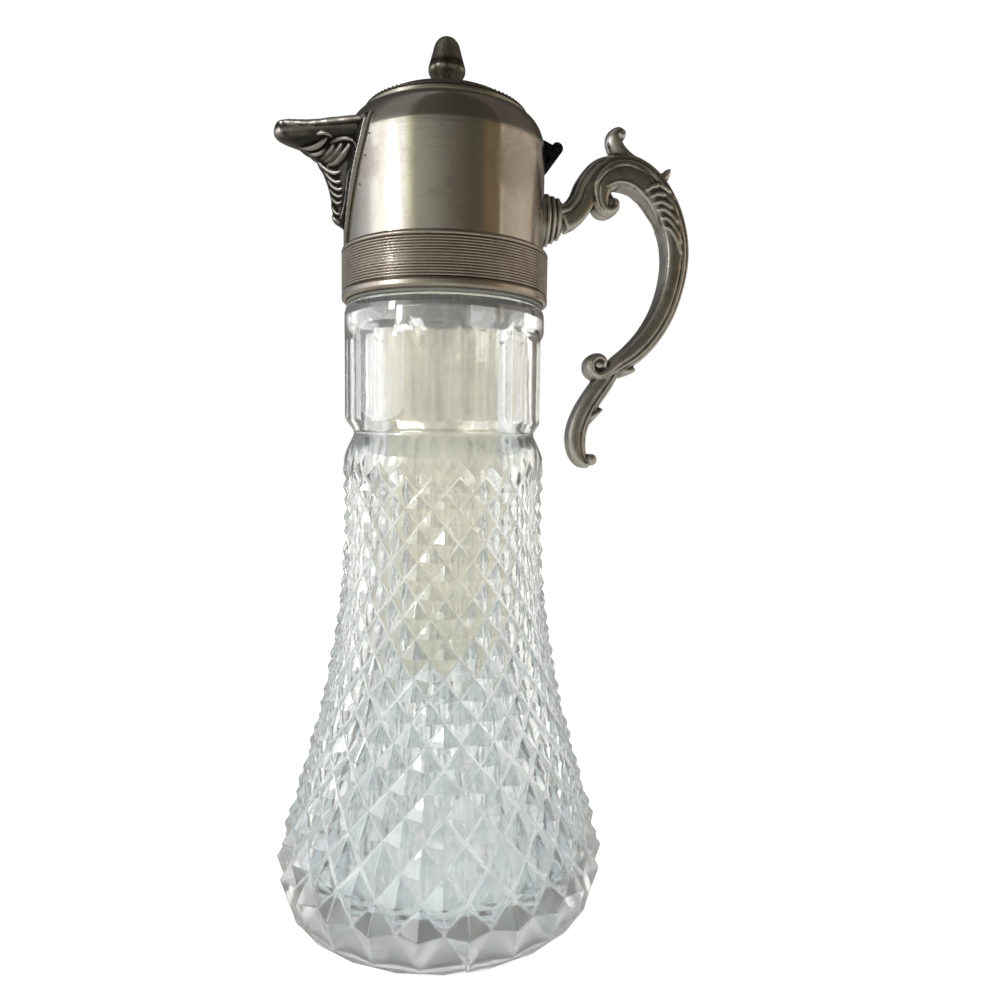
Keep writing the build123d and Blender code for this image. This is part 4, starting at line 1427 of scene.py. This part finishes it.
@dataclass
class Handle:
    """The cast scroll handle and its ringed ferrule."""

    finish: Material
    width: float = 9.6
    voxel: float = 0.36
    bow: Sequence[Sequence[float]] = (
        (62.0, 257.6, 1.6), (63.6, 256.6, 2.2), (63.4, 254.0, 2.8), (61.0, 252.6, 3.6), (58.2, 253.6, 5.0),
        (56.9, 257.6, 7.2), (57.6, 262.6, 9.8), (62.4, 267.4, 12.2), (70.0, 267.9, 13.4), (78.0, 263.8, 12.4),
        (84.5, 255.5, 11.4), (88.2, 246.0, 10.6), (89.2, 237.0, 10.0), (88.0, 227.5, 9.4), (84.6, 217.0, 9.0),
        (79.2, 208.0, 8.6), (72.8, 201.2, 8.0), (66.6, 196.8, 6.6), (62.2, 193.4, 4.4), (58.4, 191.8, 3.4),
        (55.2, 193.6, 3.2), (54.9, 197.2, 3.0), (57.6, 199.4, 2.8), (60.4, 198.2, 2.2), (60.4, 195.8, 1.7),
        (58.8, 195.2, 1.3))
    stem: Sequence[Sequence[float]] = (
        (42.8, 249.4, 11.0), (46.6, 251.1, 9.8), (50.1, 255.5, 9.4), (52.7, 261.5, 9.2), (57.6, 267.5, 9.0),
        (64.6, 270.6, 8.0))
    tail: Sequence[Sequence[float]] = (
        (65.1, 195.4, 6.0), (60.7, 189.2, 7.4), (57.0, 184.0, 7.6), (53.6, 178.5, 7.6), (51.2, 172.5, 7.6),
        (50.6, 167.5, 7.4), (51.3, 162.8, 6.4), (53.2, 159.6, 4.8), (55.4, 159.0, 3.2))
    others: Sequence[Sequence[Sequence[float]]] = (
        ((72.6, 269.6, 8.0), (67.6, 272.6, 7.2), (63.9, 276.3, 6.8), (62.9, 280.0, 6.2), (64.2, 282.4, 3.6),
         (66.0, 281.8, 2.4), (66.2, 280.0, 1.6)),
        ((78.6, 265.4, 7.0), (82.8, 267.2, 4.2), (84.4, 269.2, 2.6), (84.8, 270.6, 1.2)),
        ((62.0, 194.6, 6.0), (67.0, 194.2, 5.0), (71.0, 194.6, 3.0), (73.6, 195.2, 1.6)),
        ((54.6, 176.0, 5.0), (57.2, 177.6, 3.2), (59.4, 179.0, 1.6), (60.4, 180.0, 0.9)))
    leaves: Sequence[Sequence[Sequence[float]]] = (
        ((76.5, 262.4, 0.4), (79.6, 264.4, 0.9), (83.0, 264.8, 1.0), (86.6, 262.4, 0.8), (88.4, 260.0, 0.4)),
        ((78.4, 260.2, 0.4), (81.6, 261.8, 0.9), (85.2, 260.9, 1.0), (88.4, 257.6, 0.8), (89.8, 254.8, 0.4)),
        ((79.8, 257.8, 0.4), (83.0, 258.9, 0.9), (86.8, 257.2, 1.0), (89.6, 253.6, 0.8), (91.0, 250.8, 0.4)),
        ((81.2, 255.2, 0.4), (84.2, 256.2, 0.9), (88.0, 253.6, 1.0), (90.6, 249.6, 0.8), (91.6, 246.6, 0.4)),
        ((82.4, 252.2, 0.4), (85.4, 253.0, 0.8), (88.8, 249.8, 0.9), (91.2, 245.0, 0.7), (92.0, 241.8, 0.3)),
        ((83.8, 249.2, 0.4), (86.6, 249.2, 0.8), (89.4, 245.8, 0.8), (91.4, 241.4, 0.6), (92.2, 238.0, 0.3)),
        ((60.6, 263.0, 0.3), (65.6, 265.0, 0.5), (71.0, 264.4, 0.6), (76.0, 260.8, 0.6), (80.6, 254.4, 0.5),
         (83.4, 247.0, 0.3)),
        ((56.6, 263.8, 0.3), (60.8, 268.6, 0.6), (67.4, 271.4, 0.7), (74.4, 270.2, 0.6), (79.6, 266.2, 0.3)))
    eyes: Sequence[Sequence[float]] = ((60.9, 255.4, 1.9), (58.2, 196.4, 1.7), (56.0, 160.4, 2.2),
                                       (65.0, 280.6, 1.3))

    def build(self) -> None:
        """Build and dress the handle and its ferrule."""
        shapes = [limb(self.bow, self.width, True, 8, (0.7, 0.7)), limb(self.stem, self.width - 1.6, True),
                  limb(self.tail, self.width - 1.2, True, 8, (1.0, 0.7))]
        shapes += [limb(line, self.width - 2.4, False, 8, (1.0, 0.35)) for line in self.others]
        shapes += [button(x, z, radius, self.width * 0.38, 0.7) for x, z, radius in self.eyes]
        shapes += [button(58.6, 256.6, 4.4, self.width * 0.26, 0.2),
                   button(58.2, 195.6, 4.2, self.width * 0.26, 0.2)]
        plain = join("handle_plain", [make_object("handle_limb", v, f) for v, f in shapes])
        shapes += Engraver(plain).veins(self.leaves, 0.95, 0.1)
        bpy.data.objects.remove(plain)
        handle = cast("handle_casting", shapes, [], self.voxel, 3)
        mark_relief(handle, 14, 0.30)
        place(handle, Body.MOUNT, self.finish, Slot.PLATED_CASTING, "handle")
        ferrule = merged_copy("handle_ferrule", "ringed_ferrule", 50)
        mark_relief(ferrule, 1, 0.6)
        place(ferrule, Body.MOUNT, self.finish, Slot.PLATED_CASTING, "handle_ferrule")


@dataclass
class Lid:
    """The domed lid with its beading, its bud finial and what holds it."""

    finishes: Finishes
    radius: float = 29.2
    edge: float = 278.3
    shelf: float = 280.3
    top: float = 287.2
    bead_count: int = 100
    bead_radius: float = 0.66
    bead_ring: float = 28.05
    lobes: int = 9
    bud_waist: float = 289.5
    leaf_tips: float = 300.6
    bud_tip: float = 308.4

    def dome(self) -> None:
        """The spun dome, closed under the finial's foot."""
        rise = smooth_line([(4.3, self.top), (9.0, 287.02), (14.04, 286.5), (21.06, 285.05), (25.1, 282.9),
                            (26.95, self.shelf)], 6)
        fall = smooth_line([(24.4, 279.3), (23.6, 282.2), (20.3, 284.2), (14.04, 285.5), (9.0, 286.0),
                            (5.2, 286.2)], 5)
        outline = [(2.2, self.top), *map(tuple, rise), (28.5, self.shelf), (28.95, 280.15),
                   (self.radius, 279.8),
                   (self.radius, 278.6), (29.0, self.edge), (25.4, self.edge), (25.3, 277.3), (24.4, 277.3),
                   *map(tuple, fall), (2.2, 286.2)]
        dome = turned_ring("lid_dome", outline, 192, 35)
        mark_relief(dome, 2, 0.6)
        place(dome, Body.LID, self.finishes.dome, Slot.PLATED_SHEET, "lid")

    def beading(self) -> None:
        """The row of beads on the lid's shelf, on a low wire."""
        low, high = self.shelf + 0.02, self.shelf + 0.45
        wire = turned_ring("beaded_wire", [(27.0, low), (29.0, low), (28.9, high), (27.1, high)], 128, 50)
        bead_tree().apply(wire, {"Count": self.bead_count, "Ring Radius": self.bead_ring * MM,
                                 "Height": (self.shelf + 0.5) * MM, "Bead Radius": self.bead_radius * MM,
                                 "Material": self.finishes.beading})
        shade(wire.data, 50)
        mark_relief(wire, 1, 0.4)
        place(wire, Body.LID, self.finishes.beading, Slot.PLATED_SHEET, "bead_ring")

    def bud_shape(self, turn: float, height: float) -> float:
        """Relief of the bud: soft leaves on its cup, faint flutes on its cone.

        Args:
            turn: Angle round the bud in radians.
            height: Height in millimetres.

        Returns:
            Change of radius in millimetres.
        """
        on_cup = max(0.0, min(1.0, (height - self.bud_waist) / 4.0, (self.leaf_tips - height) / 1.2))
        on_cone = max(0.0, min(1.0, height - self.leaf_tips + 0.4, (self.bud_tip - 0.8 - height) / 2.5))
        leaf = 0.11 * abs(math.cos(self.lobes * turn / 2)) - 0.06
        flute = 0.05 * abs(math.cos(self.lobes * turn)) - 0.05
        return on_cup * leaf + on_cone * flute

    def finial(self) -> None:
        """The cast bud on its stud."""
        bulb = smooth_line([(3.9, 287.2), (3.4, 289.9), (5.1, 293.8), (6.35, 296.2), (6.5, 297.6),
                            (6.2, 299.0), (5.68, 300.7), (5.35, 301.9), (4.98, 303.2), (4.55, 304.8),
                            (3.9, 306.3), (2.7, 307.6), (1.2, 308.2), (0.2, 308.38)], 7)
        outline = [(0, 282.2), (2.0, 282.2), (2.0, 287.0), (3.7, 287.22), *map(tuple, bulb),
                   (0, self.bud_tip)]
        verts, faces = revolve(outline, 144, 0, self.bud_shape)
        bud = make_object("bud_finial", verts, faces, 60)
        mark_relief(bud, 6, 0.16)
        # The bud is darker below its leaf tips, through the same value that darkens bare ground.
        low = [(self.leaf_tips - 0.3 - vertex.co.z / MM) / 1.4 for vertex in bud.data.vertices]
        store(bud.data, "field", [1.15 * max(0.0, min(1.0, share)) for share in low])
        place(bud, Body.LID, self.finishes.bud, Slot.PLATED_CASTING, "finial")

    def build(self) -> None:
        """Build and dress the lid."""
        self.dome()
        self.beading()
        self.finial()
        for node in ("finial_washer", "finial_nut"):
            dress_node(node, self.finishes.fastener)


@dataclass
class Hinge:
    """The blackened bracket, strap and pin."""

    finish: Material
    x: float = 39.5
    z: float = 272.5
    half_width: float = 5.85

    def build(self) -> None:
        """Build and dress the hinge."""
        bracket = merged_copy("hinge_bracket", "bracket", 40)
        place(bracket, Body.MOUNT, self.finish, Slot.DARK_HINGE, "hinge_bracket")
        strap = merged_copy("lid_hinge_leaf", "lid_strap", 40)
        place(strap, Body.LID, self.finish, Slot.DARK_HINGE, "lid_hinge_leaf")
        end = self.half_width
        outline = [(0, -end - 0.45), (0.35, -end - 0.6), (0.62, -end - 0.42), (0.85, -end - 0.35),
                   (1.1, -end - 0.62), (1.38, -end - 0.5), (1.5, -end - 0.2), (1.45, -end), (0.9, -end)]
        outline += [(r, -y) for r, y in reversed(outline)]
        verts, faces = revolve(outline, 40)
        pin = make_object("hinge_rivet", [(vx + self.x, vz, self.z - vy) for vx, vy, vz in verts], faces, 60)
        place(pin, Body.MOUNT, self.finish, Slot.DARK_HINGE, "hinge_pin")


# ---------------------------------------------------------------- the studio


@dataclass
class Studio:
    """Pale floor, soft lamps, a quiet room to reflect, and the camera."""

    camera_at: tuple = (-41.06, -274.73, 168.26)
    heading: float = 12.79
    dip: float = 4.73
    roll: float = 0.76
    lens: float = 27.04
    floor_glow: float = 0.55
    floor_mirrored: Colour = (0.42, 0.40, 0.36)
    floor_near: Colour = (0.51, 0.60, 0.63)
    floor_far: Colour = (1.25, 1.25, 1.19)
    mirrored_room: Sequence[tuple] = (
        (-180, (1.5, 1.5, 1.45)), (-146, (1.5, 1.5, 1.45)), (-139, (0.85, 0.85, 0.60)),
        (-134, (0.42, 0.42, 0.33)), (-117, (0.31, 0.31, 0.27)), (-99, (0.20, 0.185, 0.155)),
        (-85, (0.14, 0.125, 0.10)), (-70, (0.095, 0.085, 0.06)), (-58, (0.11, 0.09, 0.06)),
        (-52, (0.19, 0.14, 0.08)), (-38, (0.20, 0.14, 0.075)), (-35, (0.20, 0.15, 0.08)),
        (-33.5, (1.10, 0.95, 0.70)), (-32, (0.45, 0.38, 0.30)), (-15, (0.55, 0.48, 0.40)),
        (0, (0.62, 0.53, 0.44)), (25, (0.52, 0.44, 0.37)), (40, (0.22, 0.19, 0.16)),
        (60, (0.12, 0.10, 0.09)), (100, (0.20, 0.20, 0.20)), (139, (0.37, 0.38, 0.39)),
        (165, (0.80, 0.80, 0.80)), (174, (1.40, 1.40, 1.40)))
    room_through_glass: Sequence[tuple] = (
        (-180, (0.68, 0.69, 0.69)), (-100, (0.70, 0.70, 0.69)), (-40, (0.96, 0.96, 0.95)),
        (0, (1.18, 1.18, 1.16)), (35, (1.65, 1.65, 1.59)), (55, (1.60, 1.60, 1.53)),
        (65, (1.02, 1.02, 0.99)), (77, (0.78, 0.78, 0.75)), (89, (1.02, 1.02, 0.99)),
        (99, (1.75, 1.75, 1.68)), (118, (1.55, 1.55, 1.51)), (132, (0.92, 0.93, 0.92)),
        (160, (0.68, 0.69, 0.69)))
    patch_scale: float = 4.5
    patch_tones: tuple = (0.72, 1.45)
    ceiling: Colour = (0.040, 0.037, 0.029)
    ceiling_share: float = 0.88
    ceiling_edge: tuple = (0.393, 0.408)

    def camera(self) -> None:
        """The camera."""
        yaw, pitch, roll = (math.radians(v) for v in (self.heading, self.dip, self.roll))
        ahead = Vector((math.sin(yaw) * math.cos(pitch), math.cos(yaw) * math.cos(pitch), -math.sin(pitch)))
        right = Vector((math.cos(yaw), -math.sin(yaw), 0))
        up = right.cross(ahead)
        x_axis = right * math.cos(roll) + up * math.sin(roll)
        y_axis = up * math.cos(roll) - right * math.sin(roll)
        data = bpy.data.cameras.new("camera")
        data.lens = self.lens
        data.sensor_width = 36
        data.sensor_fit = "HORIZONTAL"
        data.clip_start = 0.01
        obj = add_object("camera", data)
        turn = Matrix((x_axis, y_axis, -ahead)).transposed().to_4x4()
        obj.matrix_world = Matrix.Translation(Vector(self.camera_at) * MM) @ turn
        bpy.context.scene.camera = obj

    def lamp(self, name: str, at: tuple, size: tuple, watts: float, mirrored: bool = True) -> None:
        """An area lamp aimed at the middle of the jug.

        Args:
            name: Its name.
            at: Where it hangs, in metres.
            size: Its width and height in metres.
            watts: Its power.
            mirrored: Whether mirror-like surfaces show it.
        """
        data = bpy.data.lights.new(name, "AREA")
        data.shape = "RECTANGLE"
        data.size, data.size_y = size
        data.energy = watts
        obj = add_object(name, data)
        obj.visible_glossy = mirrored
        place_at = Vector(at)
        aim = (Vector((0, 0, 0.2)) - place_at).to_track_quat("-Z", "Y")
        obj.matrix_world = Matrix.Translation(place_at) @ aim.to_matrix().to_4x4()

    def floor(self) -> None:
        """The pale floor that keeps the jug's shadow."""
        data = bpy.data.meshes.new("floor")
        data.from_pydata([(-3, -3, -0.0003), (3, -3, -0.0003), (3, 3, -0.0003), (-3, 3, -0.0003)], [],
                         [(0, 1, 2, 3)])
        obj = add_object("floor", data)
        material = bpy.data.materials.new("pale_floor")
        material.use_nodes = True
        net = ShaderTree(material.node_tree)
        net.tree.nodes.clear()
        matt = net.node("ShaderNodeBsdfDiffuse", {"Color": (0.9, 0.9, 0.9, 1)})
        glow = net.node("ShaderNodeEmission", {"Color": (1, 1, 1, 1), "Strength": self.floor_glow})
        shown = net.node("ShaderNodeAddShader", {0: matt.outputs[0], 1: glow.outputs[0]})
        place = net.node("ShaderNodeTexCoord").outputs["Object"]
        away = net.node("ShaderNodeVectorMath", {0: place}, operation="LENGTH").outputs["Value"]
        # Painted light: seen through glass, the floor glows dim near the jug and brighter far off.
        fading = net.mix(net.ramp(away, 0.10, 0.75), self.floor_near, self.floor_far)
        mirror, through = (net.node("ShaderNodeEmission", {"Color": colour, "Strength": 1.0})
                           for colour in ((*self.floor_mirrored, 1), fading))
        net.node("ShaderNodeOutputMaterial", {0: self.by_ray(net, (matt, shown, mirror, through))})
        data.materials.append(material)

    @staticmethod
    def by_ray(net: ShaderTree, shaders: Sequence[Node]) -> NodeSocket:
        """Choose a shader by what the ray last met.

        Args:
            net: The tree.
            shaders: For light that falls on matt surfaces, for the camera, for mirror-like surfaces and for
                rays that have passed through glass.

        Returns:
            The chosen shader's socket.
        """
        path = net.node("ShaderNodeLightPath")
        passed = net.math("MINIMUM", path.outputs["Transmission Depth"], 1.0)
        shares = (path.outputs["Is Camera Ray"], path.outputs["Is Glossy Ray"], passed)
        chosen = shaders[0].outputs[0]
        for share, shader in zip(shares, shaders[1:]):
            chosen = net.node("ShaderNodeMixShader", {0: share, 1: chosen, 2: shader.outputs[0]}).outputs[0]
        return chosen

    @staticmethod
    def round_ramp(net: ShaderTree, turn: NodeSocket, stops: Sequence[tuple]) -> NodeSocket:
        """A colour that changes with the direction round the room.

        Args:
            net: The world's tree.
            turn: Direction as a share of a whole turn, from -180 degrees.
            stops: (degrees, colour) pairs; the first is used at both ends.

        Returns:
            The colour socket.
        """
        ramp = net.node("ShaderNodeValToRGB", {0: turn})
        elements = ramp.color_ramp.elements
        for element, position in zip(elements, (0.0, 1.0)):
            element.position = position
            element.color = (*stops[0][1], 1)
        for angle, colour in stops[1:]:
            elements.new((angle + 180) / 360).color = (*colour, 1)
        return ramp.outputs[0]

    def world(self) -> None:
        """White to the camera; a quiet room with one window in mirrors; pale grey walls through glass."""
        world = bpy.data.worlds.new("studio")
        bpy.context.scene.world = world
        world.use_nodes = True
        net = ShaderTree(world.node_tree)
        net.tree.nodes.clear()
        way = net.node("ShaderNodeTexCoord").outputs["Generated"]
        split = net.node("ShaderNodeSeparateXYZ", {0: way})
        turn = net.math("ARCTAN2", split.outputs[1], split.outputs[0])
        share = net.node("ShaderNodeMapRange", {0: turn, 1: -math.pi, 2: math.pi}).outputs[0]
        walls = self.round_ramp(net, share, self.mirrored_room)
        above = net.mix(self.ceiling_share, walls, self.ceiling)
        mirrored = net.mix(net.ramp(split.outputs[2], *self.ceiling_edge), walls, above)
        patches = net.node("ShaderNodeTexNoise", {"Vector": way, "Scale": self.patch_scale, "Detail": 2.0})
        shades = net.mix(net.ramp(patches.outputs[0], 0.42, 0.60),
                         *((tone,) * 3 for tone in self.patch_tones))
        seen = net.mix(1.0, self.round_ramp(net, share, self.room_through_glass), shades, "MULTIPLY")
        skies = [net.node("ShaderNodeBackground", {"Color": colour, "Strength": strength})
                 for colour, strength in (((0.80, 0.81, 0.82, 1), 0.9), ((1, 1, 1, 1), 1.0), (mirrored, 1.0),
                                          (seen, 1.0))]
        net.node("ShaderNodeOutputWorld", {0: self.by_ray(net, skies)})

    def build(self) -> None:
        """Set the studio up."""
        bpy.context.scene.view_settings.view_transform = "Standard"
        self.camera()
        self.floor()
        self.world()
        self.lamp("key", (-0.9, -0.6, 0.9), (0.7, 0.7), 9, False)
        self.lamp("fill", (0.8, -0.9, 0.7), (0.8, 0.8), 4, False)
        self.lamp("window", (-0.98, -0.38, 0.50), (0.13, 0.22), 1.1)


def main() -> None:
    """Build the studio and every sub-assembly, and report each piece."""
    logging.basicConfig(level=logging.INFO, format="%(message)s")
    Studio().build()
    finishes = Finishes()
    Bottle(finishes.bottle).build()
    PouringMount(finishes).build()
    Spout(finishes.casting).build()
    Handle(finishes.scroll).build()
    Lid(finishes).build()
    Hinge(finishes.hinge).build()


if __name__ == "__main__":
    main()
